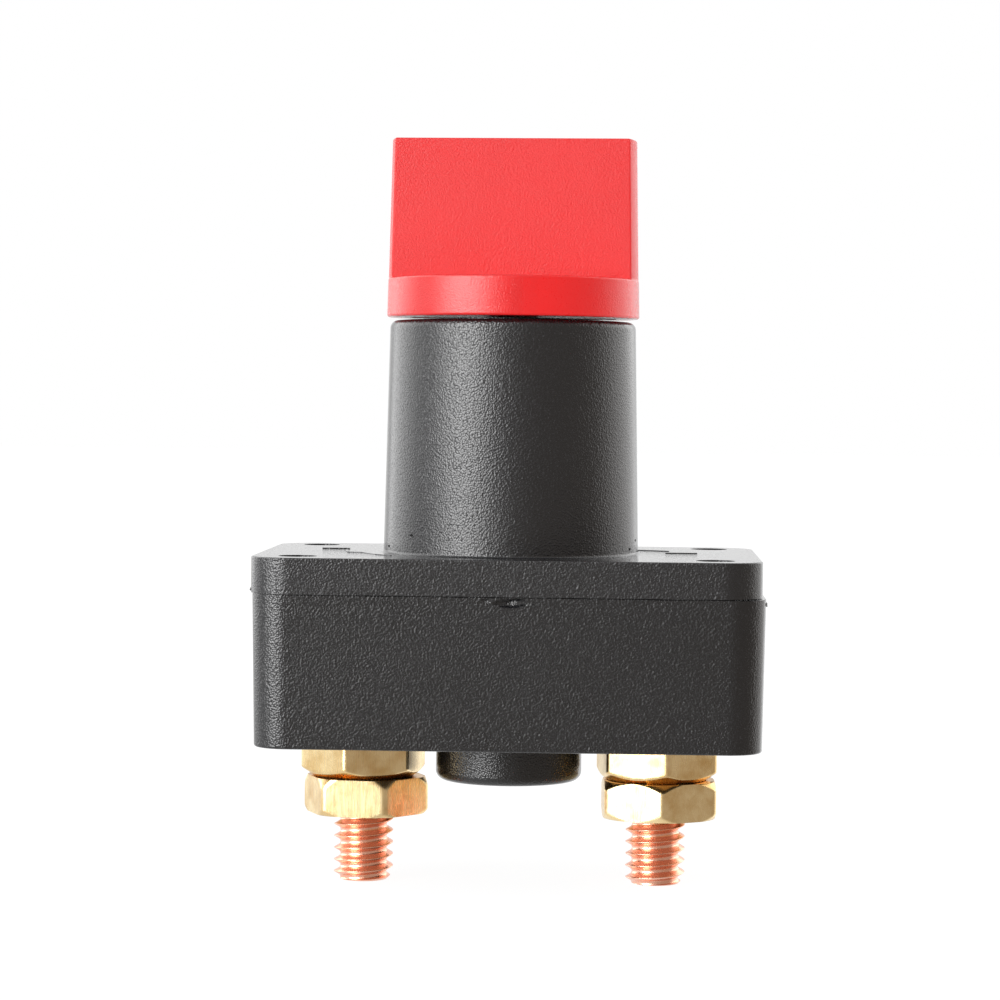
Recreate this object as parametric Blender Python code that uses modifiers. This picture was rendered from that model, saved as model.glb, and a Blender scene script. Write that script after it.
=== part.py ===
"""Battery disconnect switch: a quarter-turn knob on a tall neck, two threaded studs below.

X runs along the line of the two studs, Z up the neck, and -Y is the front. The tips of the
studs lie at Z = 0 and the neck's axis is the Z axis. All lengths are in metres.

Turning the knob clockwise turns a two-start screw cam, which pushes a plunger down the neck.
The plunger carries a copper bridge onto the heads of both studs and closes the circuit. A
return spring in the round boss lifts it again when the knob is turned back.
"""

import math

import bmesh
import bpy

MM = 0.001

# Gap that stands between pieces which touch on the real switch
CLEARANCE = 0.3 * MM

# Terminal studs, 1/4-20 thread, and their nuts
STUD_DIAMETER = 6.35 * MM
STUD_SPACING = 31.1 * MM
STUD_REACH = 15.6 * MM
STUD_TIP_CHAMFER = 0.8 * MM
STUD_HEAD_WIDTH = 9.0 * MM
STUD_HEAD_HEIGHT = 3.0 * MM
STUD_HEAD_CORNER = 0.9 * MM
STUD_HEAD_EDGE = 0.3 * MM
SEAL_DIAMETER = 9.2 * MM
SEAL_THICKNESS = 0.8 * MM
NUT_ACROSS_FLATS = 11.9 * MM
NUT_THICKNESS = 3.9 * MM
NUT_CORNER_RADIUS = 0.5 * MM
NUT_FACE_SHARE = 0.95
NUT_CHAMFER = 30.0
TERMINAL_NUT_TOP_CHAMFER = 42.0
NUT_MOUTH_CHAMFER = 0.5 * MM
LEFT_JAM_NUT_TURN = 18.0
LEFT_TERMINAL_NUT_TURN = -9.0
RIGHT_JAM_NUT_TURN = -21.0
RIGHT_TERMINAL_NUT_TURN = 31.5

# Base: a deep box below the seam and a cover plate above it
BASE_LENGTH = 52.5 * MM
BASE_DEPTH = 36.0 * MM
BASE_CORNER = 3.8 * MM
BOX_HEIGHT = 15.8 * MM
BOX_DRAFT = 0.25 * MM
BOX_SHIFT = 0.3 * MM
WALL = 2.5 * MM
FLOOR = 2.6 * MM
COVER_THICKNESS = 3.8 * MM
COVER_EDGE = 0.4 * MM
LIP_DEPTH = 1.6 * MM
LIP_WALL = 1.2 * MM

# Four blind fixing holes in the corners, each in a post of its own, set in from the base's ends
# and from its front and back
FIXING_INSET_X = 4.75 * MM
FIXING_INSET_Y = 4.5 * MM
FIXING_HOLE_DIAMETER = 4.0 * MM
FIXING_POST_DIAMETER = 7.0 * MM
FIXING_POST_FLOOR = 2.0 * MM

# Ribs on the floor that keep a stud's head from turning
HEAD_RIB_THICKNESS = 1.2 * MM
HEAD_RIB_HEIGHT = 2.5 * MM

# Boss under the base, with the well of the return spring
BOSS_DIAMETER = 15.6 * MM
BOSS_DEPTH = 4.7 * MM
BOSS_EDGE = 1.0 * MM
WELL_DIAMETER = 12.0 * MM
WELL_FLOOR = 2.0 * MM

# Neck
NECK_HEIGHT = 24.65 * MM
NECK_TOP_DIAMETER = 26.2 * MM
NECK_FOOT_DIAMETER = 27.2 * MM
NECK_EDGE = 0.8 * MM
NECK_BORE = 21.0 * MM
WEB_THICKNESS = 4.95 * MM
COLLAR_DIAMETER = 19.4 * MM
RIB_WIDTH = 3.0 * MM
RIB_HEIGHT = 1.8 * MM
RIB_SETBACK = 0.6 * MM

# Knob
KNOB_GAP = 0.5 * MM
KNOB_HEIGHT = 18.75 * MM
KNOB_FOOT_DIAMETER = 26.9 * MM
KNOB_TOP_DIAMETER = 26.1 * MM
KNOB_EDGE = 0.5 * MM
SKIRT_HEIGHT = 4.0 * MM
BAR_THICKNESS = 8.2 * MM
BAR_DRAFT = 0.15 * MM
BAR_INSET = 0.04 * MM
KNOB_WALL = 2.1 * MM
KNOB_ROOF = 2.8 * MM
KNOB_CORE = 9.6 * MM
KNOB_PLAY_TURN = -1.9

# Travel: a quarter turn of the knob moves the plunger by this much
QUARTER_TURN = 90.0
TRAVEL = 3.0 * MM

# Spindle
JOURNAL_DIAMETER = 8.0 * MM
DRIVE_DIAMETER = 5.4 * MM
DRIVE_FLAT = 2.0 * MM
DRIVE_LENGTH = 8.5 * MM
DRIVE_CHAMFER = 0.4 * MM
SPINDLE_FLANGE = 2.5 * MM
SPINDLE_HUB_STEP = 0.4 * MM
CAM_OUTER_DIAMETER = 16.2 * MM
CAM_BORE = 9.2 * MM
CAM_INSET = 0.2 * MM
CAM_STEP_PLAY = 4.0
CAM_ROOT = 0.6 * MM
SEAL_GROOVE_DEPTH = 1.3 * MM
SEAL_GROOVE_DROP = 1.3 * MM
SEAL_RING_WIRE = 1.1 * MM
THRUST_WASHER_DIAMETER = 16.4 * MM
THRUST_WASHER_THICKNESS = 0.8 * MM

# Screw that holds the knob from inside the spindle
KNOB_SCREW_DIAMETER = 2.2 * MM
KNOB_SCREW_GRIP = 5.6 * MM
KNOB_SCREW_TIP = 1.0 * MM
KNOB_SCREW_HEAD_DIAMETER = 5.2 * MM
KNOB_SCREW_HEAD_HEIGHT = 1.8 * MM
KNOB_SCREW_RECESS = 1.0 * MM
KNOB_SCREW_SLOT = 0.6 * MM

# Plunger and the contact bridge that it carries
PLUNGER_FLANGE = 5.0 * MM
STEM_DIAMETER = 5.8 * MM
STEM_FLAT = 2.2 * MM
STEM_SHOULDER_DIAMETER = 7.4 * MM
STEM_SHOULDER = 2.0 * MM
STEM_END = 0.9 * MM
CLIP_GROOVE_DEPTH = 0.9 * MM
CLIP_WIDTH = 1.9 * MM
CLIP_THICKNESS = 0.8 * MM
CLIP_MOUTH = 70.0
BRIDGE_THICKNESS = 2.0 * MM
BRIDGE_WIDTH = 9.0 * MM
BRIDGE_CORNER = 1.5 * MM
SPRING_SEAT_DIAMETER = 11.2 * MM
SPRING_SEAT_THICKNESS = 0.8 * MM

# Springs
CONTACT_SPRING_DIAMETER = 9.4 * MM
CONTACT_SPRING_WIRE = 0.9 * MM
CONTACT_SPRING_TURNS = 4
RETURN_SPRING_DIAMETER = 10.2 * MM
RETURN_SPRING_WIRE = 0.8 * MM
RETURN_SPRING_TURNS = 5
CLOSED_COIL_RISE = 1.3

# How finely round shapes are divided
FINE_STEPS = 48
SMALL_STEPS = 24
CORNER_STEPS = 6
EDGE_STEPS = 3
RIM_STEPS = 2
COIL_STEPS = 12
SHARP_ANGLE = 35.0

# How far one solid reaches into another before they are joined, or past it before it cuts
BITE = 0.5 * MM
PAST = 1.0 * MM

# Heights, from the tips of the studs up
BASE_BOTTOM = STUD_REACH
SEAM = BASE_BOTTOM + BOX_HEIGHT
BOX_TOP = SEAM - CLEARANCE / 2
COVER_BOTTOM = SEAM + CLEARANCE / 2
BASE_TOP = SEAM + COVER_THICKNESS
NECK_TOP = BASE_TOP + NECK_HEIGHT
KNOB_BOTTOM = NECK_TOP + KNOB_GAP
KNOB_TOP = KNOB_BOTTOM + KNOB_HEIGHT
SKIRT_TOP = KNOB_BOTTOM + SKIRT_HEIGHT
COLLAR_TOP = KNOB_BOTTOM - CLEARANCE
WEB_BOTTOM = NECK_TOP - WEB_THICKNESS

FLOOR_TOP = BASE_BOTTOM + FLOOR
BOSS_BOTTOM = BASE_BOTTOM - BOSS_DEPTH
WELL_BOTTOM = BOSS_BOTTOM + WELL_FLOOR
SEAL_BOTTOM = FLOOR_TOP + CLEARANCE
STUD_HEAD_BOTTOM = SEAL_BOTTOM + SEAL_THICKNESS + CLEARANCE
STUD_HEAD_TOP = STUD_HEAD_BOTTOM + STUD_HEAD_HEIGHT

BRIDGE_BOTTOM = STUD_HEAD_TOP + TRAVEL + CLEARANCE
BRIDGE_TOP = BRIDGE_BOTTOM + BRIDGE_THICKNESS
SPRING_SEAT_TOP = BRIDGE_BOTTOM - CLEARANCE
SPRING_SEAT_BOTTOM = SPRING_SEAT_TOP - SPRING_SEAT_THICKNESS
CLIP_TOP = SPRING_SEAT_BOTTOM - CLEARANCE
CLIP_BOTTOM = CLIP_TOP - CLIP_THICKNESS
STEM_BOTTOM = CLIP_BOTTOM - STEM_END
PLUNGER_BOTTOM = BASE_TOP
PLUNGER_TOP = PLUNGER_BOTTOM + PLUNGER_FLANGE

THRUST_WASHER_TOP = WEB_BOTTOM - CLEARANCE
THRUST_WASHER_BOTTOM = THRUST_WASHER_TOP - THRUST_WASHER_THICKNESS
SPINDLE_FLANGE_TOP = THRUST_WASHER_BOTTOM - CLEARANCE
SPINDLE_FLANGE_BOTTOM = SPINDLE_FLANGE_TOP - SPINDLE_FLANGE
SPINDLE_HUB_BOTTOM = SPINDLE_FLANGE_BOTTOM - SPINDLE_HUB_STEP
SPINDLE_TOP = KNOB_BOTTOM + DRIVE_LENGTH
KNOB_SCREW_HEAD_TOP = SPINDLE_HUB_BOTTOM - CLEARANCE
KNOB_SCREW_TOP = SPINDLE_TOP + KNOB_SCREW_GRIP

# Widths that follow from others
RIB_INNER_RADIUS = NECK_BORE / 2 - RIB_HEIGHT
GUIDE_RADIUS = NECK_BORE / 2 - CLEARANCE
CAVITY_LENGTH = BASE_LENGTH - 2 * WALL
CAVITY_DEPTH = BASE_DEPTH - 2 * WALL
FIXING_SPACING_X = BASE_LENGTH - 2 * FIXING_INSET_X
FIXING_SPACING_Y = BASE_DEPTH - 2 * FIXING_INSET_Y
FIXING_POINTS = [
    (side_x * FIXING_SPACING_X / 2, side_y * FIXING_SPACING_Y / 2)
    for side_x in (-1, 1)
    for side_y in (-1, 1)
]
LEFT_STUD_X = -STUD_SPACING / 2
RIGHT_STUD_X = STUD_SPACING / 2

# The cam: two equal ramps, which fall as the angle grows
RAMP_SWEEP = math.radians(180 - CAM_STEP_PLAY)
RAMP_STARTS = [math.radians(start + CAM_STEP_PLAY / 2) for start in (0, 180)]
RAMP_SLOPE = TRAVEL / math.radians(QUARTER_TURN)
RAMP_LOW = PLUNGER_TOP + CAM_ROOT
RAMP_HIGH = RAMP_LOW + RAMP_SLOPE * RAMP_SWEEP
SLEEVE_BOTTOM = RAMP_HIGH + CLEARANCE + CAM_ROOT

part_collection = bpy.data.collections.new("battery_disconnect_switch")
cutter_collection = bpy.data.collections.new("cutters")


def clear_scene():
    for obj in list(bpy.data.objects):
        bpy.data.objects.remove(obj, do_unlink=True)
    bpy.context.scene.collection.children.link(part_collection)
    bpy.context.scene.collection.children.link(cutter_collection)


def principled(name, colour, roughness, metallic=0.0):
    """A plain material of one colour, roughness and metallic value."""
    made = bpy.data.materials.new(name)
    made.use_nodes = True
    shader = made.node_tree.nodes["Principled BSDF"]
    shader.inputs["Base Color"].default_value = (*colour, 1.0)
    shader.inputs["Roughness"].default_value = roughness
    shader.inputs["Metallic"].default_value = metallic
    made.diffuse_color = (*colour, 1.0)
    return made


MATERIALS = {
    "red_plastic": principled("red_plastic", (0.80, 0.03, 0.04), 0.35),
    "black_plastic": principled("black_plastic", (0.035, 0.035, 0.037), 0.5),
    "white_plastic": principled("white_plastic", (0.75, 0.73, 0.66), 0.5),
    "copper": principled("copper", (0.85, 0.35, 0.20), 0.3, 1.0),
    "brass": principled("brass", (0.70, 0.55, 0.24), 0.3, 1.0),
    "steel": principled("steel", (0.56, 0.57, 0.58), 0.3, 1.0),
    "zinc": principled("zinc", (0.45, 0.46, 0.48), 0.45, 1.0),
    "rubber": principled("rubber", (0.02, 0.02, 0.02), 0.7),
}


def new_object(name, mesh):
    obj = bpy.data.objects.new(name, mesh)
    cutter_collection.objects.link(obj)
    return obj


def object_from(name, bm):
    """An object from a bmesh, with every face pointing outwards."""
    bmesh.ops.recalc_face_normals(bm, faces=bm.faces)
    mesh = bpy.data.meshes.new(name)
    bm.to_mesh(mesh)
    bm.free()
    return new_object(name, mesh)


def block(name, low, high):
    """A box between two corners."""
    bm = bmesh.new()
    bmesh.ops.create_cube(bm, size=1)
    bmesh.ops.scale(bm, vec=[high[i] - low[i] for i in range(3)], verts=bm.verts)
    bmesh.ops.translate(bm, vec=[(high[i] + low[i]) / 2 for i in range(3)], verts=bm.verts)
    return object_from(name, bm)


def rounded_block(name, length, depth, bottom, top, corner, draft=0.0, top_edge=0.0, shift=0.0):
    """A box about the Z axis with round upright corners.

    draft draws its bottom in on each side, top_edge rounds the rim of its top, and shift
    moves it along X.
    """
    bm = bmesh.new()
    bmesh.ops.create_cube(bm, size=1)
    bmesh.ops.scale(bm, vec=(length, depth, top - bottom), verts=bm.verts)
    bmesh.ops.translate(bm, vec=(0, 0, (top + bottom) / 2), verts=bm.verts)
    middle = (top + bottom) / 2
    upright = [edge for edge in bm.edges if (edge.verts[0].co.z > middle) != (edge.verts[1].co.z > middle)]
    bmesh.ops.bevel(bm, geom=upright, offset=corner, segments=CORNER_STEPS, profile=0.5,
                    affect="EDGES", material=-1)
    if top_edge:
        rim = [edge for edge in bm.edges if min(vert.co.z for vert in edge.verts) > middle]
        bmesh.ops.bevel(bm, geom=rim, offset=top_edge, segments=RIM_STEPS, profile=0.5,
                        affect="EDGES", material=-1)
    if draft:
        lower = [vert for vert in bm.verts if vert.co.z < middle]
        shrink = (1 - 2 * draft / length, 1 - 2 * draft / depth, 1)
        bmesh.ops.scale(bm, vec=shrink, verts=lower)
    bmesh.ops.translate(bm, vec=(shift, 0, 0), verts=bm.verts)
    return object_from(name, bm)


def cylinders(name, places, radius, bottom, top, steps=SMALL_STEPS):
    """One upright cylinder at each place (x, y), all in one object."""
    bm = bmesh.new()
    for x, y in places:
        made = bmesh.ops.create_cone(bm, cap_ends=True, segments=steps, radius1=radius,
                                     radius2=radius, depth=top - bottom)
        bmesh.ops.translate(bm, vec=(x, y, (top + bottom) / 2), verts=made["verts"])
    return object_from(name, bm)


def arc(radius, start, end, steps, centre=(0.0, 0.0)):
    """Points along an arc in a plane, both ends included; angles in radians."""
    return [
        (
            centre[0] + radius * math.cos(start + (end - start) * i / steps),
            centre[1] + radius * math.sin(start + (end - start) * i / steps),
        )
        for i in range(steps + 1)
    ]


def outer_corner(radius, height, edge, upper):
    """A rounded corner of a turned profile, run downwards: (radius, height) is its sharp point."""
    quarter = math.pi / 2
    if upper:
        return arc(edge, quarter, 0, EDGE_STEPS, (radius - edge, height - edge))
    return arc(edge, 0, -quarter, EDGE_STEPS, (radius - edge, height + edge))


def turned(name, profile, steps=FINE_STEPS, ring=False):
    """A solid turned about Z from points (radius, height) down its outer side.

    A profile that starts and ends on the axis makes a full solid, and one with ring set closes
    on itself up its inner side.
    """
    mesh = bpy.data.meshes.new(name)
    edges = [(i, i + 1) for i in range(len(profile) - 1)]
    if ring:
        edges.append((len(profile) - 1, 0))
    mesh.from_pydata([(radius, 0, height) for radius, height in profile], edges, [])
    obj = new_object(name, mesh)
    screw = obj.modifiers.new("Turn", "SCREW")
    screw.axis = "Z"
    screw.angle = 2 * math.pi
    screw.steps = steps
    screw.render_steps = steps
    screw.use_merge_vertices = True
    screw.merge_threshold = 0.01 * MM
    return obj


def flat_ring(name, outer, inner, bottom, top, steps=SMALL_STEPS):
    """A washer: a ring of square section, from its outer and inner diameters."""
    profile = [(outer / 2, top), (outer / 2, bottom), (inner / 2, bottom), (inner / 2, top)]
    return turned(name, profile, steps, ring=True)


def prism(name, outline, bottom, top, top_scale=(1, 1, 1), top_edge=0.0):
    """An outline in X and Y, extruded upwards; top_edge rounds the rim of its top."""
    bm = bmesh.new()
    face = bm.faces.new([bm.verts.new((x, y, bottom)) for x, y in outline])
    raised = bmesh.ops.extrude_face_region(bm, geom=[face])["geom"]
    upper = [item for item in raised if isinstance(item, bmesh.types.BMVert)]
    bmesh.ops.translate(bm, vec=(0, 0, top - bottom), verts=upper)
    bmesh.ops.scale(bm, vec=top_scale, verts=upper)
    if top_edge:
        rim = [edge for edge in bm.edges if all(vert in upper for vert in edge.verts)]
        bmesh.ops.bevel(bm, geom=rim, offset=top_edge, segments=EDGE_STEPS, profile=0.5,
                        affect="EDGES", material=-1)
    return object_from(name, bm)


def flatted_circle(radius, flat, flats):
    """A circle cut by one flat at the front, or by two flats front and back."""
    angle = math.asin(flat / radius)
    if flats == 1:
        return arc(radius, -angle, math.pi + angle, SMALL_STEPS)
    half = SMALL_STEPS // 2
    return arc(radius, -angle, angle, half) + arc(radius, math.pi - angle, math.pi + angle, half)


def combine(obj, tool, operation):
    """Joins, cuts or intersects obj with a tool that stays out of the part."""
    step = obj.modifiers.new(tool.name, "BOOLEAN")
    step.operation = operation
    step.solver = "EXACT"
    step.object = tool
    tool.hide_render = True
    tool.display_type = "WIRE"


def join(obj, tool):
    combine(obj, tool, "UNION")


def cut(obj, tool):
    combine(obj, tool, "DIFFERENCE")


def settle(obj, material, axis):
    """Takes a finished piece into the part, on the body whose axis is given."""
    cutter_collection.objects.unlink(obj)
    part_collection.objects.link(obj)
    obj.data.materials.append(MATERIALS[material])
    obj.parent = axis
    return obj


def screw_ramps(name, inner, outer, flat, ramp_end, steps=FINE_STEPS // 2):
    """Two half rings between a flat face and a face that falls by the cam's slope.

    flat is the height of the flat face, and ramp_end that of the ramp's low end.
    """
    bm = bmesh.new()
    for start in RAMP_STARTS:
        ramp_start = ramp_end + RAMP_SLOPE * RAMP_SWEEP
        corners = [(inner, flat), (outer, flat), (outer, ramp_start), (inner, ramp_start)]
        verts = [
            bm.verts.new((radius * math.cos(start), radius * math.sin(start), height))
            for radius, height in corners
        ]
        section = bm.faces.new(verts)
        before = set(bm.verts)
        bmesh.ops.spin(bm, geom=[section], cent=(0, 0, 0), axis=(0, 0, 1), angle=RAMP_SWEEP,
                       steps=steps, use_duplicate=False)
        for vert in bm.verts:
            if vert not in before and abs(vert.co.z - ramp_start) < 1e-7:
                turn = (math.atan2(vert.co.y, vert.co.x) - start) % (2 * math.pi)
                vert.co.z -= RAMP_SLOPE * turn
    return object_from(name, bm)


def coil(name, mean_diameter, wire, bottom, top, turns):
    """A compression spring with one closed turn at each end."""
    curve = bpy.data.curves.new(name, "CURVE")
    curve.dimensions = "3D"
    curve.bevel_depth = wire / 2
    curve.bevel_resolution = 2
    curve.use_fill_caps = True
    count = turns * COIL_STEPS + 1
    dead_rise = CLOSED_COIL_RISE * wire
    live_rise = (top - bottom - wire - 2 * dead_rise) / (turns - 2)
    spline = curve.splines.new("POLY")
    spline.points.add(count - 1)
    for i, point in enumerate(spline.points):
        turn = i / COIL_STEPS
        dead = min(turn, 1) + max(turn - (turns - 1), 0)
        live = turn - dead
        angle = 2 * math.pi * turn
        height = bottom + wire / 2 + dead_rise * dead + live_rise * live
        point.co = (mean_diameter / 2 * math.cos(angle), mean_diameter / 2 * math.sin(angle), height, 1)
    wound = new_object(name + "_path", curve)
    bpy.context.view_layer.update()
    seen = wound.evaluated_get(bpy.context.evaluated_depsgraph_get())
    bm = bmesh.new()
    bm.from_mesh(bpy.data.meshes.new_from_object(seen))
    bmesh.ops.remove_doubles(bm, verts=bm.verts, dist=0.005 * MM)
    bpy.data.objects.remove(wound, do_unlink=True)
    return object_from(name, bm)


def make_upper_housing(axis):
    """Cover plate and neck, one moulding, open below."""
    housing = rounded_block("upper_housing", BASE_LENGTH, BASE_DEPTH, COVER_BOTTOM, BASE_TOP,
                            BASE_CORNER, top_edge=COVER_EDGE)
    neck_profile = [(0, COLLAR_TOP), (COLLAR_DIAMETER / 2, COLLAR_TOP), (COLLAR_DIAMETER / 2, NECK_TOP)]
    neck_profile += outer_corner(NECK_TOP_DIAMETER / 2, NECK_TOP, NECK_EDGE, upper=True)
    neck_profile += [(NECK_FOOT_DIAMETER / 2, BASE_TOP), (NECK_FOOT_DIAMETER / 2, BASE_TOP - BITE)]
    neck_profile += [(0, BASE_TOP - BITE)]
    join(housing, turned("neck_outside", neck_profile))

    journal_hole = JOURNAL_DIAMETER / 2 + CLEARANCE
    bore = turned("neck_bore", [
        (0, COLLAR_TOP + PAST), (journal_hole, COLLAR_TOP + PAST), (journal_hole, WEB_BOTTOM),
        (NECK_BORE / 2, WEB_BOTTOM), (NECK_BORE / 2, COVER_BOTTOM - PAST), (0, COVER_BOTTOM - PAST),
    ])
    for side, name in ((1, "rear_rib"), (-1, "front_rib")):
        near, far = sorted((side * RIB_INNER_RADIUS, side * (NECK_BORE / 2 + PAST)))
        cut(bore, block(name, (-RIB_WIDTH / 2, near, COVER_BOTTOM + RIB_SETBACK),
                        (RIB_WIDTH / 2, far, WEB_BOTTOM + PAST)))
    cut(housing, bore)
    cut(housing, cylinders("cover_fixing_holes", FIXING_POINTS, FIXING_HOLE_DIAMETER / 2,
                           COVER_BOTTOM - PAST, BASE_TOP + PAST))

    lip_length = CAVITY_LENGTH - 2 * CLEARANCE
    lip_depth = CAVITY_DEPTH - 2 * CLEARANCE
    lip_corner = BASE_CORNER - WALL
    lip = rounded_block("cover_lip", lip_length, lip_depth, COVER_BOTTOM - LIP_DEPTH,
                        COVER_BOTTOM + BITE, lip_corner)
    cut(lip, rounded_block("inside_of_lip", lip_length - 2 * LIP_WALL, lip_depth - 2 * LIP_WALL,
                           COVER_BOTTOM - LIP_DEPTH - PAST, COVER_BOTTOM + BITE + PAST, lip_corner))
    cut(lip, cylinders("room_for_posts", FIXING_POINTS, FIXING_POST_DIAMETER / 2 + CLEARANCE,
                       COVER_BOTTOM - LIP_DEPTH - PAST, COVER_BOTTOM + BITE + PAST))
    join(housing, lip)
    return settle(housing, "black_plastic", axis)


def make_lower_housing(axis):
    """Deep box with the spring boss under it, one moulding, open above."""
    housing = rounded_block("lower_housing", BASE_LENGTH, BASE_DEPTH, BASE_BOTTOM, BOX_TOP,
                            BASE_CORNER, draft=BOX_DRAFT, shift=BOX_SHIFT)
    boss_profile = [(0, BASE_BOTTOM + BITE), (BOSS_DIAMETER / 2, BASE_BOTTOM + BITE)]
    boss_profile += outer_corner(BOSS_DIAMETER / 2, BOSS_BOTTOM, BOSS_EDGE, upper=False)
    boss_profile += [(0, BOSS_BOTTOM)]
    join(housing, turned("spring_boss", boss_profile))

    cavity = rounded_block("inside_of_box", CAVITY_LENGTH, CAVITY_DEPTH, FLOOR_TOP, BOX_TOP + PAST,
                           BASE_CORNER - WALL)
    cut(cavity, cylinders("fixing_posts", FIXING_POINTS, FIXING_POST_DIAMETER / 2,
                          FLOOR_TOP - PAST, BOX_TOP + 2 * PAST))
    rib_near = STUD_HEAD_WIDTH / 2 + CLEARANCE
    for x, stud in ((LEFT_STUD_X, "left"), (RIGHT_STUD_X, "right")):
        for side, place in ((1, "rear"), (-1, "front")):
            near, far = sorted((side * rib_near, side * (rib_near + HEAD_RIB_THICKNESS)))
            cut(cavity, block(f"{stud}_{place}_head_rib",
                              (x - STUD_HEAD_WIDTH / 2, near, FLOOR_TOP - PAST),
                              (x + STUD_HEAD_WIDTH / 2, far, FLOOR_TOP + HEAD_RIB_HEIGHT)))
    cut(housing, cavity)
    cut(housing, cylinders("spring_well", [(0, 0)], WELL_DIAMETER / 2, WELL_BOTTOM,
                           FLOOR_TOP + PAST, FINE_STEPS))
    cut(housing, cylinders("stud_holes", [(LEFT_STUD_X, 0), (RIGHT_STUD_X, 0)],
                           STUD_DIAMETER / 2 + CLEARANCE, BASE_BOTTOM - PAST, FLOOR_TOP + PAST))
    cut(housing, cylinders("post_holes", FIXING_POINTS, FIXING_HOLE_DIAMETER / 2,
                           FLOOR_TOP + FIXING_POST_FLOOR, BOX_TOP + PAST))
    return settle(housing, "black_plastic", axis)


def make_stud(name, x, axis):
    """Copper stud: square head inside, plain shank at the thread's outer diameter."""
    half = STUD_HEAD_WIDTH / 2
    stud = rounded_block(name, STUD_HEAD_WIDTH, STUD_HEAD_WIDTH, STUD_HEAD_BOTTOM, STUD_HEAD_TOP,
                         STUD_HEAD_CORNER, top_edge=STUD_HEAD_EDGE)
    radius = STUD_DIAMETER / 2
    shank = turned(name + "_shank", [
        (0, STUD_HEAD_BOTTOM + BITE), (radius, STUD_HEAD_BOTTOM + BITE), (radius, STUD_TIP_CHAMFER),
        (radius - STUD_TIP_CHAMFER, 0), (0, 0),
    ], SMALL_STEPS)
    join(stud, shank)
    stud.location.x = x
    shank.location.x = x
    return settle(stud, "copper", axis)


def make_seal(name, x, axis):
    seal = flat_ring(name, SEAL_DIAMETER, STUD_DIAMETER + 2 * CLEARANCE, SEAL_BOTTOM,
                     SEAL_BOTTOM + SEAL_THICKNESS)
    seal.location.x = x
    return settle(seal, "rubber", axis)


def make_nut(name, x, top, turn, top_chamfer, axis):
    """Hexagon nut with rounded corners, chamfered at both ends.

    turn is how far a flat is turned from the front, and top_chamfer is the slope of its upper
    chamfer, both in degrees.
    """
    bottom = top - NUT_THICKNESS
    half_side = math.pi / 6
    corner_reach = NUT_ACROSS_FLATS / 2 / math.cos(half_side)
    centre_reach = corner_reach - NUT_CORNER_RADIUS / math.cos(half_side)
    hexagon = []
    for corner in range(6):
        angle = math.radians(turn) - math.pi / 2 + (2 * corner + 1) * half_side
        centre = (centre_reach * math.cos(angle), centre_reach * math.sin(angle))
        hexagon += arc(NUT_CORNER_RADIUS, angle - half_side, angle + half_side, RIM_STEPS, centre)
    nut = prism(name, hexagon, bottom, top)
    face_radius = NUT_ACROSS_FLATS / 2 * NUT_FACE_SHARE
    top_slope = math.tan(math.radians(top_chamfer))
    bottom_slope = math.tan(math.radians(NUT_CHAMFER))
    past_radius = corner_reach + PAST
    barrel = turned(name + "_chamfer", [
        (0, top + PAST), (face_radius - PAST / top_slope, top + PAST),
        (past_radius, top - (past_radius - face_radius) * top_slope),
        (past_radius, bottom + (past_radius - face_radius) * bottom_slope),
        (face_radius - PAST / bottom_slope, bottom - PAST), (0, bottom - PAST),
    ], SMALL_STEPS)
    combine(nut, barrel, "INTERSECT")
    hole = STUD_DIAMETER / 2 + CLEARANCE
    mouth = hole + NUT_MOUTH_CHAMFER + PAST
    bore = turned(name + "_bore", [
        (0, top + PAST), (mouth, top + PAST), (hole, top - NUT_MOUTH_CHAMFER),
        (hole, bottom + NUT_MOUTH_CHAMFER), (mouth, bottom - PAST), (0, bottom - PAST),
    ], SMALL_STEPS)
    cut(nut, bore)
    for piece in (nut, barrel, bore):
        piece.location.x = x
    return settle(nut, "brass", axis)


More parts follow.
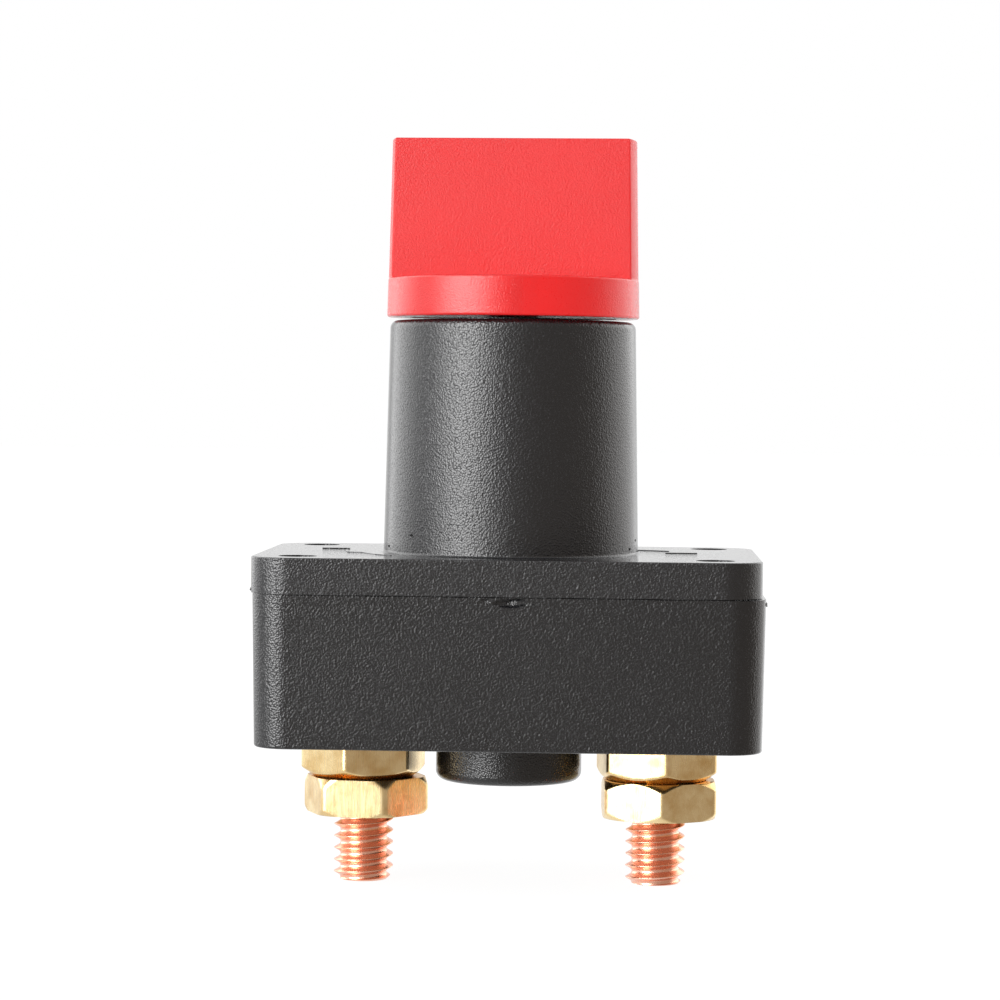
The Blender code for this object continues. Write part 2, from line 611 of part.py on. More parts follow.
def make_knob(axis):
    """Red moulding: round skirt and finger bar, with a drive socket and two cored pockets."""
    foot_radius = KNOB_FOOT_DIAMETER / 2
    taper = (KNOB_FOOT_DIAMETER - KNOB_TOP_DIAMETER) / 2 / KNOB_HEIGHT
    skirt_radius = foot_radius - taper * SKIRT_HEIGHT
    profile = [(0, SKIRT_TOP)]
    profile += outer_corner(skirt_radius, SKIRT_TOP, KNOB_EDGE, upper=True)
    profile += outer_corner(foot_radius, KNOB_BOTTOM, KNOB_EDGE, upper=False)
    profile += [(0, KNOB_BOTTOM)]
    knob = turned("knob", profile)

    bar_radius = skirt_radius - BAR_INSET
    bar_angle = math.asin(BAR_THICKNESS / 2 / bar_radius)
    outline = arc(bar_radius, -bar_angle, bar_angle, 2 * EDGE_STEPS)
    outline += arc(bar_radius, math.pi - bar_angle, math.pi + bar_angle, 2 * EDGE_STEPS)
    top_scale = (
        (KNOB_TOP_DIAMETER / 2 - BAR_INSET) / bar_radius,
        1 - 2 * BAR_DRAFT / BAR_THICKNESS,
        1,
    )
    join(knob, prism("finger_bar", outline, SKIRT_TOP - BITE, KNOB_TOP, top_scale, KNOB_EDGE))

    pocket_far = KNOB_TOP_DIAMETER / 2 - KNOB_WALL
    pocket_half = BAR_THICKNESS / 2 - KNOB_WALL
    for side, name in ((1, "right_pocket"), (-1, "left_pocket")):
        near, far = sorted((side * KNOB_CORE / 2, side * pocket_far))
        cut(knob, block(name, (near, -pocket_half, KNOB_BOTTOM - PAST),
                        (far, pocket_half, KNOB_TOP - KNOB_ROOF)))
    socket = flatted_circle(DRIVE_DIAMETER / 2 + CLEARANCE, DRIVE_FLAT + CLEARANCE, 1)
    cut(knob, prism("drive_socket", socket, KNOB_BOTTOM - PAST, SPINDLE_TOP + CLEARANCE))
    cut(knob, cylinders("screw_hole", [(0, 0)], KNOB_SCREW_DIAMETER / 2 + CLEARANCE,
                        SPINDLE_TOP - PAST, KNOB_SCREW_TOP + CLEARANCE))
    turn = math.radians(KNOB_PLAY_TURN)
    knob.rotation_euler.z = turn
    for step in knob.modifiers:
        if step.type == "BOOLEAN":
            step.object.rotation_euler.z = turn
    return settle(knob, "red_plastic", axis)


def make_spindle(axis):
    """Drive end, journal with a seal groove, flange with two stop wings, and the cam sleeve."""
    journal = JOURNAL_DIAMETER / 2
    groove_top = NECK_TOP - SEAL_GROOVE_DROP
    groove_bottom = groove_top - SEAL_RING_WIRE - 2 * CLEARANCE
    groove = journal - SEAL_GROOVE_DEPTH
    body_top = SPINDLE_FLANGE_TOP - CLEARANCE
    spindle = turned("spindle", [
        (0, NECK_TOP + KNOB_GAP - CLEARANCE), (journal, NECK_TOP + KNOB_GAP - CLEARANCE),
        (journal, groove_top), (groove, groove_top), (groove, groove_bottom), (journal, groove_bottom),
        (journal, body_top), (CAM_OUTER_DIAMETER / 2, body_top), (CAM_OUTER_DIAMETER / 2, SLEEVE_BOTTOM),
        (CAM_BORE / 2, SLEEVE_BOTTOM), (CAM_BORE / 2, SPINDLE_HUB_BOTTOM), (0, SPINDLE_HUB_BOTTOM),
    ])
    drive = flatted_circle(DRIVE_DIAMETER / 2, DRIVE_FLAT, 1)
    join(spindle, prism("drive_end", drive, NECK_TOP - BITE, SPINDLE_TOP, top_edge=DRIVE_CHAMFER))

    wing_margin = math.asin((RIB_WIDTH / 2 + CLEARANCE) / RIB_INNER_RADIUS)
    wing_end = math.radians(QUARTER_TURN) - wing_margin
    core = RIB_INNER_RADIUS - CLEARANCE
    wings = []
    for half_turn in (0, math.pi):
        wings += arc(GUIDE_RADIUS, half_turn + wing_margin, half_turn + wing_end, 3 * EDGE_STEPS)
        wings += arc(core, half_turn + wing_end, half_turn + math.pi + wing_margin, 5 * EDGE_STEPS)
    join(spindle, prism("stop_wings", wings, SPINDLE_FLANGE_BOTTOM, SPINDLE_FLANGE_TOP))

    ramps = screw_ramps("spindle_ramps", CAM_BORE / 2 + CAM_INSET, CAM_OUTER_DIAMETER / 2 - CAM_INSET,
                        SLEEVE_BOTTOM + BITE, RAMP_LOW + CLEARANCE)
    join(spindle, ramps)
    cut(spindle, cylinders("spindle_screw_hole", [(0, 0)], KNOB_SCREW_DIAMETER / 2 + CLEARANCE,
                           SPINDLE_HUB_BOTTOM - PAST, SPINDLE_TOP + PAST))
    return settle(spindle, "zinc", axis)


def make_shaft_seal(axis):
    """Round-section ring in the groove of the journal."""
    wire = SEAL_RING_WIRE / 2
    mean = JOURNAL_DIAMETER / 2 - SEAL_GROOVE_DEPTH + CLEARANCE + wire
    middle = NECK_TOP - SEAL_GROOVE_DROP - CLEARANCE - wire
    section = arc(wire, 0, -2 * math.pi, 3 * EDGE_STEPS, (mean, middle))[:-1]
    return settle(turned("shaft_seal", section, SMALL_STEPS, ring=True), "rubber", axis)


def make_knob_screw(axis):
    """Pan-head screw, up through the spindle into the knob, with a cross recess."""
    shank = KNOB_SCREW_DIAMETER / 2
    head = KNOB_SCREW_HEAD_DIAMETER / 2
    head_bottom = KNOB_SCREW_HEAD_TOP - KNOB_SCREW_HEAD_HEIGHT
    profile = [(0, KNOB_SCREW_TOP), (shank / 2, KNOB_SCREW_TOP), (shank, KNOB_SCREW_TOP - KNOB_SCREW_TIP),
               (shank, KNOB_SCREW_HEAD_TOP), (head, KNOB_SCREW_HEAD_TOP)]
    profile += outer_corner(head, head_bottom, KNOB_SCREW_HEAD_HEIGHT / 2, upper=False)
    profile += [(0, head_bottom)]
    screw = turned("knob_screw", profile, SMALL_STEPS)
    for name, half_x, half_y in (
        ("recess_along", head / 2, KNOB_SCREW_SLOT / 2),
        ("recess_across", KNOB_SCREW_SLOT / 2, head / 2),
    ):
        cut(screw, block(name, (-half_x, -half_y, head_bottom - PAST),
                         (half_x, half_y, head_bottom + KNOB_SCREW_RECESS)))
    return settle(screw, "steel", axis)


def make_plunger(axis):
    """Guide flange with two keyways, screw ramps above, flatted stem below."""
    shoulder = STEM_SHOULDER_DIAMETER / 2
    plunger = turned("plunger", [
        (0, PLUNGER_TOP), (GUIDE_RADIUS, PLUNGER_TOP), (GUIDE_RADIUS, PLUNGER_BOTTOM),
        (shoulder, PLUNGER_BOTTOM), (shoulder, PLUNGER_BOTTOM - STEM_SHOULDER),
        (0, PLUNGER_BOTTOM - STEM_SHOULDER),
    ])
    keyway = RIB_INNER_RADIUS - CLEARANCE
    keyway_half = RIB_WIDTH / 2 + CLEARANCE
    for side, name in ((1, "rear_keyway"), (-1, "front_keyway")):
        near, far = sorted((side * keyway, side * (NECK_BORE / 2 + PAST)))
        cut(plunger, block(name, (-keyway_half, near, PLUNGER_BOTTOM - PAST),
                           (keyway_half, far, PLUNGER_TOP + PAST)))
    join(plunger, screw_ramps("plunger_ramps", CAM_BORE / 2 + CAM_INSET,
                              CAM_OUTER_DIAMETER / 2 - CAM_INSET, PLUNGER_TOP - BITE, RAMP_LOW))
    stem = flatted_circle(STEM_DIAMETER / 2, STEM_FLAT, 2)
    join(plunger, prism("stem", stem, STEM_BOTTOM, PLUNGER_BOTTOM - STEM_SHOULDER + BITE))
    cut(plunger, flat_ring("clip_groove", STEM_DIAMETER + 2 * PAST, STEM_DIAMETER - 2 * CLIP_GROOVE_DEPTH,
                           CLIP_BOTTOM - CLEARANCE, CLIP_TOP + CLEARANCE))
    return settle(plunger, "white_plastic", axis)


def make_bridge(axis):
    """Copper bar across both stud heads, keyed on the flats of the stem."""
    bridge = rounded_block("contact_bridge", STUD_SPACING + STUD_HEAD_WIDTH, BRIDGE_WIDTH,
                           BRIDGE_BOTTOM, BRIDGE_TOP, BRIDGE_CORNER)
    hole = flatted_circle(STEM_DIAMETER / 2 + CLEARANCE, STEM_FLAT + CLEARANCE, 2)
    cut(bridge, prism("bridge_hole", hole, BRIDGE_BOTTOM - PAST, BRIDGE_TOP + PAST))
    return settle(bridge, "copper", axis)


def make_stem_clip(axis):
    """Open retaining ring in the groove at the end of the stem."""
    inner = STEM_DIAMETER / 2 - CLIP_GROOVE_DEPTH + CLEARANCE
    half_mouth = math.radians(CLIP_MOUTH / 2)
    outline = arc(inner + CLIP_WIDTH, half_mouth, 2 * math.pi - half_mouth, SMALL_STEPS)
    outline += arc(inner, 2 * math.pi - half_mouth, half_mouth, SMALL_STEPS)
    return settle(prism("stem_clip", outline, CLIP_BOTTOM, CLIP_TOP), "steel", axis)


def make_fixed_pieces(axis):
    make_upper_housing(axis)
    make_lower_housing(axis)
    jam_top = BASE_BOTTOM - CLEARANCE
    terminal_top = jam_top - NUT_THICKNESS - CLEARANCE
    for side, x, jam_turn, terminal_turn in (
        ("left", LEFT_STUD_X, LEFT_JAM_NUT_TURN, LEFT_TERMINAL_NUT_TURN),
        ("right", RIGHT_STUD_X, RIGHT_JAM_NUT_TURN, RIGHT_TERMINAL_NUT_TURN),
    ):
        make_stud(f"{side}_stud", x, axis)
        make_seal(f"{side}_stud_seal", x, axis)
        make_nut(f"{side}_jam_nut", x, jam_top, jam_turn, NUT_CHAMFER, axis)
        make_nut(f"{side}_terminal_nut", x, terminal_top, terminal_turn, TERMINAL_NUT_TOP_CHAMFER, axis)
    washer = flat_ring("thrust_washer", THRUST_WASHER_DIAMETER, JOURNAL_DIAMETER + 2 * CLEARANCE,
                       THRUST_WASHER_BOTTOM, THRUST_WASHER_TOP)
    settle(washer, "steel", axis)
    spring = coil("return_spring", RETURN_SPRING_DIAMETER, RETURN_SPRING_WIRE,
                  WELL_BOTTOM + CLEARANCE, SPRING_SEAT_BOTTOM - CLEARANCE, RETURN_SPRING_TURNS)
    settle(spring, "steel", axis)


def make_turning_pieces(axis):
    make_knob(axis)
    make_spindle(axis)
    make_shaft_seal(axis)
    make_knob_screw(axis)


def make_sliding_pieces(axis):
    make_plunger(axis)
    make_bridge(axis)
    spring = coil("contact_spring", CONTACT_SPRING_DIAMETER, CONTACT_SPRING_WIRE,
                  BRIDGE_TOP + CLEARANCE, PLUNGER_BOTTOM - CLEARANCE, CONTACT_SPRING_TURNS)
    settle(spring, "steel", axis)
    seat = flat_ring("spring_seat", SPRING_SEAT_DIAMETER, STEM_DIAMETER + 2 * CLEARANCE,
                     SPRING_SEAT_BOTTOM, SPRING_SEAT_TOP)
    settle(seat, "steel", axis)
    make_stem_clip(axis)


def axis_empty(name):
    """An empty on the switch's axis, to which the pieces of one body are parented."""
    empty = bpy.data.objects.new(name, None)
    part_collection.objects.link(empty)
    return empty


def apply_steps():
    """Replaces each piece's modifiers by the mesh they make, shaded smooth between sharp edges."""
    bpy.context.view_layer.update()
    depsgraph = bpy.context.evaluated_depsgraph_get()
    pieces = [obj for obj in part_collection.objects if obj.type == "MESH"]
    finished = {obj: bpy.data.meshes.new_from_object(obj.evaluated_get(depsgraph)) for obj in pieces}
    for obj, mesh in finished.items():
        obj.modifiers.clear()
        obj.data = mesh
        mesh.name = obj.name
        mesh.shade_smooth()
        mesh.set_sharp_from_angle(angle=math.radians(SHARP_ANGLE))
    for tool in list(cutter_collection.objects):
        bpy.data.objects.remove(tool, do_unlink=True)


clear_scene()
make_fixed_pieces(axis_empty("housing_axis"))
make_turning_pieces(axis_empty("knob_turn_axis"))
make_sliding_pieces(axis_empty("plunger_slide_axis"))
apply_steps()
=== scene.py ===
# %% [markdown]
# # A battery disconnect switch, dressed for its portrait
#
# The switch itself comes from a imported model: 21 solids on three bodies, the housing, the knob and
# the plunger. This lesson keeps their sizes and places, and gives each visible piece the shape and
# surface that a camera would see: a moulded red knob, a black glass-filled nylon housing, rolled
# copper studs with real threads and milled brass nuts.
#
# X runs from the left to the right stud, Z up the neck, and the viewer stands on the -Y side.

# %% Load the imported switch
import math

import bmesh
import bpy
from mathutils import Matrix, Vector, noise


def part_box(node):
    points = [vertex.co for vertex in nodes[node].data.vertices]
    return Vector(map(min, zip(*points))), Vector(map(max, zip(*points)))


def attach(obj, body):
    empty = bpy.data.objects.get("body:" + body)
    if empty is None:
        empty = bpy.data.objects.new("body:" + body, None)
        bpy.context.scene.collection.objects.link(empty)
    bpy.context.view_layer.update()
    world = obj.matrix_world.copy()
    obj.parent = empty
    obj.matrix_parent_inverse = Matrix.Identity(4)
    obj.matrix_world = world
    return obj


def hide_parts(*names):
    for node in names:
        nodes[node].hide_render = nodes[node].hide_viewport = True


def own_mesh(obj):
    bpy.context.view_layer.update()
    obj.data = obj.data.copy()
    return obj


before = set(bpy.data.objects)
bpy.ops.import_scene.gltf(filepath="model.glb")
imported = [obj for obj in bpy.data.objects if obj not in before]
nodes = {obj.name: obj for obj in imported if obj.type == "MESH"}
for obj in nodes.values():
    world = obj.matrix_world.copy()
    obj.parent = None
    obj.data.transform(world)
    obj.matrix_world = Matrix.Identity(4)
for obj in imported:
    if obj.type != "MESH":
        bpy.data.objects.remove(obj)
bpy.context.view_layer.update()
MM = 0.001

# %% [markdown]
# ## The camera
#
# The portrait was taken from a little to the right of the middle and about level with the neck,
# because the flat top of the base is seen almost edge on. A camera could be aimed with a
# constraint, but a place and three turns say more: how far it is turned, tipped and rolled.

# %% Camera
PICTURE_SIDE = 1000
SENSOR_SIDE = 36.0
FOCAL_PIXELS = 3244.5
CAMERA_PLACE = Vector((12.04, -346.6, 51.2)) * MM
CAMERA_TURN = math.radians(2.19)
CAMERA_DIP = math.radians(1.719)
CAMERA_ROLL = math.radians(0.597)

camera_data = bpy.data.cameras.new("portrait_camera")
camera_data.sensor_width = SENSOR_SIDE
camera_data.lens = FOCAL_PIXELS * SENSOR_SIDE / PICTURE_SIDE
camera_data.clip_start = 10 * MM
camera = bpy.data.objects.new("portrait_camera", camera_data)
bpy.context.scene.collection.objects.link(camera)
aim = Matrix.Rotation(CAMERA_TURN, 4, "Z") @ Matrix.Rotation(math.pi / 2 - CAMERA_DIP, 4, "X")
camera.matrix_world = Matrix.Translation(CAMERA_PLACE) @ aim @ Matrix.Rotation(CAMERA_ROLL, 4, "Z")
bpy.context.scene.camera = camera
print("camera with a", round(camera_data.lens, 1), "mm lens")

# %% [markdown]
# ## Two small helpers for materials
#
# Colours are written the way a paint program shows them, as hex sRGB, and turned to linear light in
# one place. A material is a tree of nodes, and one helper adds a node with its settings and links,
# so that each material below reads as a list of what happens on that surface.

# %% Colour and node helpers
def linear(hex_colour):
    """Linear RGBA from an sRGB hex colour such as "#C03020"."""
    levels = [int(hex_colour[i:i + 2], 16) / 255 for i in (1, 3, 5)]
    return (*[v / 12.92 if v <= 0.04045 else ((v + 0.055) / 1.055) ** 2.4 for v in levels], 1.0)


def add_node(tree, kind, settings=None, inputs=None):
    """Adds a node. A socket given as an input is linked, and any other value is set."""
    node = tree.nodes.new("ShaderNode" + kind)
    for name, value in (settings or {}).items():
        setattr(node, name, value)
    for name, value in (inputs or {}).items():
        if isinstance(value, bpy.types.NodeSocket):
            tree.links.new(value, node.inputs[name])
        else:
            node.inputs[name].default_value = value
    return node


def new_material(name):
    """An empty material with its output node; returns both."""
    material = bpy.data.materials.new(name)
    material.use_nodes = True
    material.node_tree.nodes.clear()
    return material, material.node_tree


print("helpers ready")

# %% [markdown]
# ## Black glass-filled nylon
#
# The housing is nylon with chopped glass fibre, moulded in a spark-eroded tool. Three things show
# on it: a grain that breaks the highlight into sparks, faint paler specks in the colour, partly
# short fibres near the skin and partly painted glints, and broad faint flow marks. An image could
# hold all that, but noise of the right size in millimetres works at any distance and on every side.
# Each spark of the tool leaves a small round dimple, so the grain is a Voronoi pattern, whose
# squared distance makes round cells.
# Their sides tip the surface by ten degrees, over a skin that is itself smooth. A rougher skin
# alone would give the same soft highlight, but without its sparks. The real grain is finer than
# these cells of 0.2 mm, and too fine to show at this distance, so it is drawn as coarse as it has
# to be.

# %% Black glass-filled nylon
GRAIN_SIZE = 0.20 * MM
GRAIN_DEPTH = 0.040 * MM
FIBRE_GLINT_SIZE = 0.16 * MM
FLOW_SIZE = 7 * MM


def grazing_share(tree, least, start=0.50, end=0.97):
    """A factor that falls from 1 to least where a surface is seen edge on.

    A grainy surface looks smoother from a low angle, since only the tops of its grains are seen.
    """
    facing = add_node(tree, "LayerWeight", inputs={"Blend": 0.5}).outputs["Facing"]
    steep = add_node(tree, "MapRange", {"interpolation_type": "SMOOTHSTEP"}, {
        "Value": facing, "From Min": start, "From Max": end, "To Min": 1.0, "To Max": least})
    return steep.outputs[0]


def glass_filled_nylon(name, dark, light, fibre_glint_colour, smooth, rough):
    """Two near blacks in broad clouds with paler specks, partly fibre and partly painted glint;
    smooth and rough bound the roughness.
    """
    material, tree = new_material(name)
    place = add_node(tree, "TexCoord").outputs["Object"]
    flow = add_node(tree, "TexNoise", inputs={
        "Vector": place, "Scale": 1 / FLOW_SIZE, "Detail": 4.0})
    tone = add_node(tree, "Mix", {"data_type": "RGBA"}, {
        0: flow.outputs[0], 6: linear(dark), 7: linear(light)})
    # Paler specks in the colour: partly glass fibres near the skin, partly painted glints.
    specks = add_node(tree, "TexNoise", inputs={
        "Vector": place, "Scale": 1 / FIBRE_GLINT_SIZE, "Detail": 1.0})
    fibre_glint_share = add_node(tree, "MapRange", inputs={
        "Value": specks.outputs[0], "From Min": 0.64, "From Max": 0.74})
    colour = add_node(tree, "Mix", {"data_type": "RGBA"}, {
        0: fibre_glint_share.outputs[0], 6: tone.outputs[2], 7: linear(fibre_glint_colour)})
    cells = add_node(tree, "TexVoronoi", inputs={"Vector": place, "Scale": 1 / GRAIN_SIZE})
    from_middle = cells.outputs["Distance"]
    grain = add_node(tree, "Math", {"operation": "MULTIPLY"}, {0: from_middle, 1: from_middle})
    skin = add_node(tree, "MapRange", inputs={
        "Value": grain.outputs[0], "From Min": 0.05, "From Max": 0.5,
        "To Min": smooth, "To Max": rough})
    smoother = add_node(tree, "Math", {"operation": "MULTIPLY"}, {
        0: skin.outputs[0], 1: grazing_share(tree, 0.25)})
    flatter = grazing_share(tree, 0.25, 0.25, 0.85)
    bump = add_node(tree, "Bump", inputs={
        "Height": grain.outputs[0], "Strength": flatter, "Distance": GRAIN_DEPTH})
    shader = add_node(tree, "BsdfPrincipled", inputs={
        "Base Color": colour.outputs[2], "Roughness": smoother.outputs[0], "IOR": 1.53,
        "Specular IOR Level": 0.57, "Normal": bump.outputs["Normal"]})
    add_node(tree, "OutputMaterial", inputs={"Surface": shader.outputs[0]})
    return material


cover_nylon = glass_filled_nylon(
    "cover_glass_filled_nylon", "#101012", "#17171A", "#2E2E31", 0.24, 0.36)
box_nylon = glass_filled_nylon(
    "box_glass_filled_nylon", "#0B0B0D", "#111114", "#2A2A2C", 0.20, 0.32)
print("made", cover_nylon.name, "and", box_nylon.name)

# %% [markdown]
# ## Red moulded nylon
#
# The knob is one moulding with two finishes from one tool. The flanks of its bar were eroded to a
# fine matt, so they take a broad pale sheen, and the skirt was only stoned, so it shows the lamp as
# a soft upright band. The height on the knob decides which of the two a point gets.

# %% Red moulded nylon
KNOB_GRAIN = 0.17 * MM
KNOB_GRAIN_DEPTH = 0.10 * MM
KNOB_CLOUD = 6 * MM
SKIRT_TOP = 64.35 * MM
FINISH_CHANGE = 0.1 * MM


def red_moulded_nylon():
    material, tree = new_material("red_moulded_nylon")
    place = add_node(tree, "TexCoord").outputs["Object"]
    height = add_node(tree, "SeparateXYZ", inputs={0: place}).outputs["Z"]
    matt = add_node(tree, "MapRange", inputs={
        "Value": height, "From Min": SKIRT_TOP, "From Max": SKIRT_TOP + FINISH_CHANGE}).outputs[0]
    grain = add_node(tree, "TexNoise", inputs={
        "Vector": place, "Scale": 1 / KNOB_GRAIN, "Detail": 2.0, "Roughness": 0.6})
    cloud = add_node(tree, "TexNoise", inputs={
        "Vector": place, "Scale": 1 / KNOB_CLOUD, "Detail": 3.0})
    colour = add_node(tree, "Mix", {"data_type": "RGBA"}, {
        0: cloud.outputs[0], 6: linear("#EE0D0F"), 7: linear("#F51316")})
    base_rough = add_node(tree, "MapRange", inputs={
        "Value": matt, "To Min": 0.24, "To Max": 0.52})
    grainy = add_node(tree, "Math", {"operation": "MULTIPLY_ADD"}, {
        0: grain.outputs[0], 1: 0.10, 2: base_rough.outputs[0]})
    rough = add_node(tree, "Math", {"operation": "MULTIPLY"}, {
        0: grainy.outputs[0], 1: grazing_share(tree, 0.42)})
    depth = add_node(tree, "MapRange", inputs={"Value": matt, "To Min": 0.5, "To Max": 1.0})
    bump = add_node(tree, "Bump", inputs={
        "Height": grain.outputs[0], "Strength": depth.outputs[0], "Distance": KNOB_GRAIN_DEPTH})
    shader = add_node(tree, "BsdfPrincipled", inputs={
        "Base Color": colour.outputs[2], "Roughness": rough.outputs[0], "IOR": 1.53,
        "Normal": bump.outputs["Normal"]})
    add_node(tree, "OutputMaterial", inputs={"Surface": shader.outputs[0]})
    return material


red_nylon = red_moulded_nylon()
print("made", red_nylon.name)

# %% [markdown]
# ## Milled brass and rolled copper
#
# The nuts are sawn from hexagon bar and faced in a lathe. The bar was drawn, so fine lines run
# along it, up and down on the flats, and handling has tarnished it in soft olive and brown clouds.
# The studs' threads were rolled, which burnishes the copper. A metal has no diffuse colour: what
# it mirrors gives it its look, so only its tint, its roughness and its fine lines are set here.
# Faces that tilt upwards, the upper turned end of a nut and the upper thread flanks, are found by
# their slope and get a darker, browner tint: partly the turned finish, partly painted shade.

# %% Brass and copper
DRAW_LINE = 0.16 * MM
DRAW_LENGTH = 3.5 * MM
TARNISH_SIZE = 2.6 * MM
FINE_RELIEF = 0.01 * MM


def drawn_metal(name, bright, tarnished, turned_end_shade, smooth, dull, line_depth):
    """Metal with upright draw lines; smooth and dull bound the roughness along them."""
    material, tree = new_material(name)
    coordinates = add_node(tree, "TexCoord").outputs
    place = coordinates["Object"]
    along = add_node(tree, "Mapping", inputs={
        "Vector": place, "Scale": (1 / DRAW_LINE, 1 / DRAW_LINE, 1 / DRAW_LENGTH)})
    lines = add_node(tree, "TexNoise", inputs={
        "Vector": along.outputs[0], "Scale": 1.0, "Detail": 3.0})
    clouds = add_node(tree, "TexNoise", inputs={
        "Vector": place, "Scale": 1 / TARNISH_SIZE, "Detail": 5.0, "Roughness": 0.6})
    stained = add_node(tree, "MapRange", inputs={
        "Value": clouds.outputs[0], "From Min": 0.42, "From Max": 0.68})
    colour = add_node(tree, "Mix", {"data_type": "RGBA"}, {
        0: stained.outputs[0], 6: linear(bright), 7: linear(tarnished)})
    # A darker, browner tint on faces that tilt upwards: painted shade, partly also the turned
    # finish.
    tilt = add_node(tree, "SeparateXYZ", inputs={0: coordinates["Normal"]}).outputs["Z"]
    upward_shade_share = add_node(tree, "MapRange", inputs={
        "Value": tilt, "From Min": 0.35, "From Max": 0.6})
    tinted = add_node(tree, "Mix", {"data_type": "RGBA"}, {
        0: upward_shade_share.outputs[0], 6: colour.outputs[2], 7: linear(turned_end_shade)})
    rough = add_node(tree, "MapRange", inputs={
        "Value": lines.outputs[0], "From Min": 0.3, "From Max": 0.7,
        "To Min": smooth, "To Max": dull})
    bump = add_node(tree, "Bump", inputs={
        "Height": lines.outputs[0], "Strength": line_depth, "Distance": FINE_RELIEF})
    shader = add_node(tree, "BsdfPrincipled", inputs={
        "Base Color": tinted.outputs[2], "Metallic": 1.0, "Roughness": rough.outputs[0],
        "Normal": bump.outputs["Normal"]})
    add_node(tree, "OutputMaterial", inputs={"Surface": shader.outputs[0]})
    return material


milled_brass = drawn_metal("milled_brass", "#F4DBA8", "#D8B478", "#DCAE6E", 0.20, 0.32, 0.22)
rolled_copper = drawn_metal("rolled_copper", "#F9C2AB", "#F4AF90", "#F2B094", 0.22, 0.34, 0.12)
print("made", milled_brass.name, "and", rolled_copper.name)

# %% [markdown]
# ## The finishes inside
#
# Nobody sees the works of the switch from outside, but they turn up in a cut-away or when the model
# is taken apart. They keep their solids and get a finish each: zinc-plated steel, die-cast zinc,
# natural acetal and black nitrile rubber. The return spring, which changes shape, comes later.

# %% Finishes of the inner pieces
def plain_finish(name, dark, light, spot_size, roughness, metallic=0.0):
    """An even finish with soft spots of two near tones in it."""
    material, tree = new_material(name)
    place = add_node(tree, "TexCoord").outputs["Object"]
    spots = add_node(tree, "TexNoise", inputs={
        "Vector": place, "Scale": 1 / spot_size, "Detail": 4.0})
    colour = add_node(tree, "Mix", {"data_type": "RGBA"}, {
        0: spots.outputs[0], 6: linear(dark), 7: linear(light)})
    bump = add_node(tree, "Bump", inputs={
        "Height": spots.outputs[0], "Strength": 0.2, "Distance": FINE_RELIEF})
    shader = add_node(tree, "BsdfPrincipled", inputs={
        "Base Color": colour.outputs[2], "Metallic": metallic, "Roughness": roughness,
        "Normal": bump.outputs["Normal"]})
    add_node(tree, "OutputMaterial", inputs={"Surface": shader.outputs[0]})
    return material


zinc_plated_steel = plain_finish("zinc_plated_steel", "#B4B6B8", "#D2D4D6", 0.8 * MM, 0.3, 1.0)
die_cast_zinc = plain_finish("die_cast_zinc", "#A0A2A5", "#B8BABD", 0.4 * MM, 0.45, 1.0)
natural_acetal = plain_finish("natural_acetal", "#E2DFD3", "#EDEBE2", 1.5 * MM, 0.45)
nitrile_rubber = plain_finish("nitrile_rubber", "#161616", "#202020", 0.3 * MM, 0.7)

INNER_FINISHES = {
    "spindle": die_cast_zinc,
    "plunger": natural_acetal,
    "shaft_seal": nitrile_rubber,
    "left_stud_seal": nitrile_rubber,
    "right_stud_seal": nitrile_rubber,
    "contact_bridge": rolled_copper,
    "knob_screw": zinc_plated_steel,
    "thrust_washer": zinc_plated_steel,
    "contact_spring": zinc_plated_steel,
    "spring_seat": zinc_plated_steel,
    "stem_clip": zinc_plated_steel,
}
for node_name, finish in INNER_FINISHES.items():
    nodes[node_name].data.materials.clear()
    nodes[node_name].data.materials.append(finish)
print("finished", len(INNER_FINISHES), "inner pieces")

# %% [markdown]
# ## Shapes from bmesh
#
# Nearly every piece here was turned, moulded in a box-shaped tool or cut from bar. So three makers
# are enough to start from: a profile spun round the Z axis, a block with rounded upright corners,
# and an outline raised to a prism. Rods, plain blocks and uneven pebbles serve as cores. Pieces are
# joined and cut with Boolean modifiers, which is how the tool maker thinks of them too: this body,
# less that core.

# %% Makers
TINY = 0.001 * MM
CUT_SLACK = 0.0005 * MM
SHARP = 0.6
# How far a core reaches past the face that it opens.
PAST = 1.0 * MM


def to_object(name, bm):
    """An object at the origin from a bmesh, with its faces turned outwards."""
    bmesh.ops.remove_doubles(bm, verts=bm.verts, dist=TINY)
    bmesh.ops.recalc_face_normals(bm, faces=bm.faces)
    mesh = bpy.data.meshes.new(name)
    bm.to_mesh(mesh)
    bm.free()
    made = bpy.data.objects.new(name, mesh)
    bpy.context.scene.collection.objects.link(made)
    return made


def arc(radius, start, end, steps, centre=(0.0, 0.0)):
    """Points on an arc, both ends included; angles in degrees."""
    turns = [math.radians(start + (end - start) * i / steps) for i in range(steps + 1)]
    return [(centre[0] + radius * math.cos(t), centre[1] + radius * math.sin(t)) for t in turns]


def turned(name, profile, steps):
    """Spins a closed profile of points (radius, height) round an upright axis."""
    bm = bmesh.new()
    verts = [bm.verts.new((radius, 0, height)) for radius, height in profile]
    edges = [bm.edges.new((verts[i - 1], verts[i])) for i in range(len(verts))]
    bmesh.ops.spin(bm, geom=verts + edges, cent=(0, 0, 0), axis=(0, 0, 1), angle=2 * math.pi,
                   steps=steps, use_merge=True, use_duplicate=False)
    bmesh.ops.remove_doubles(bm, verts=bm.verts, dist=TINY)
    on_axis = [edge for edge in bm.edges if all(v.co.xy.length < TINY for v in edge.verts)]
    bmesh.ops.delete(bm, geom=on_axis, context="EDGES")
    return to_object(name, bm)


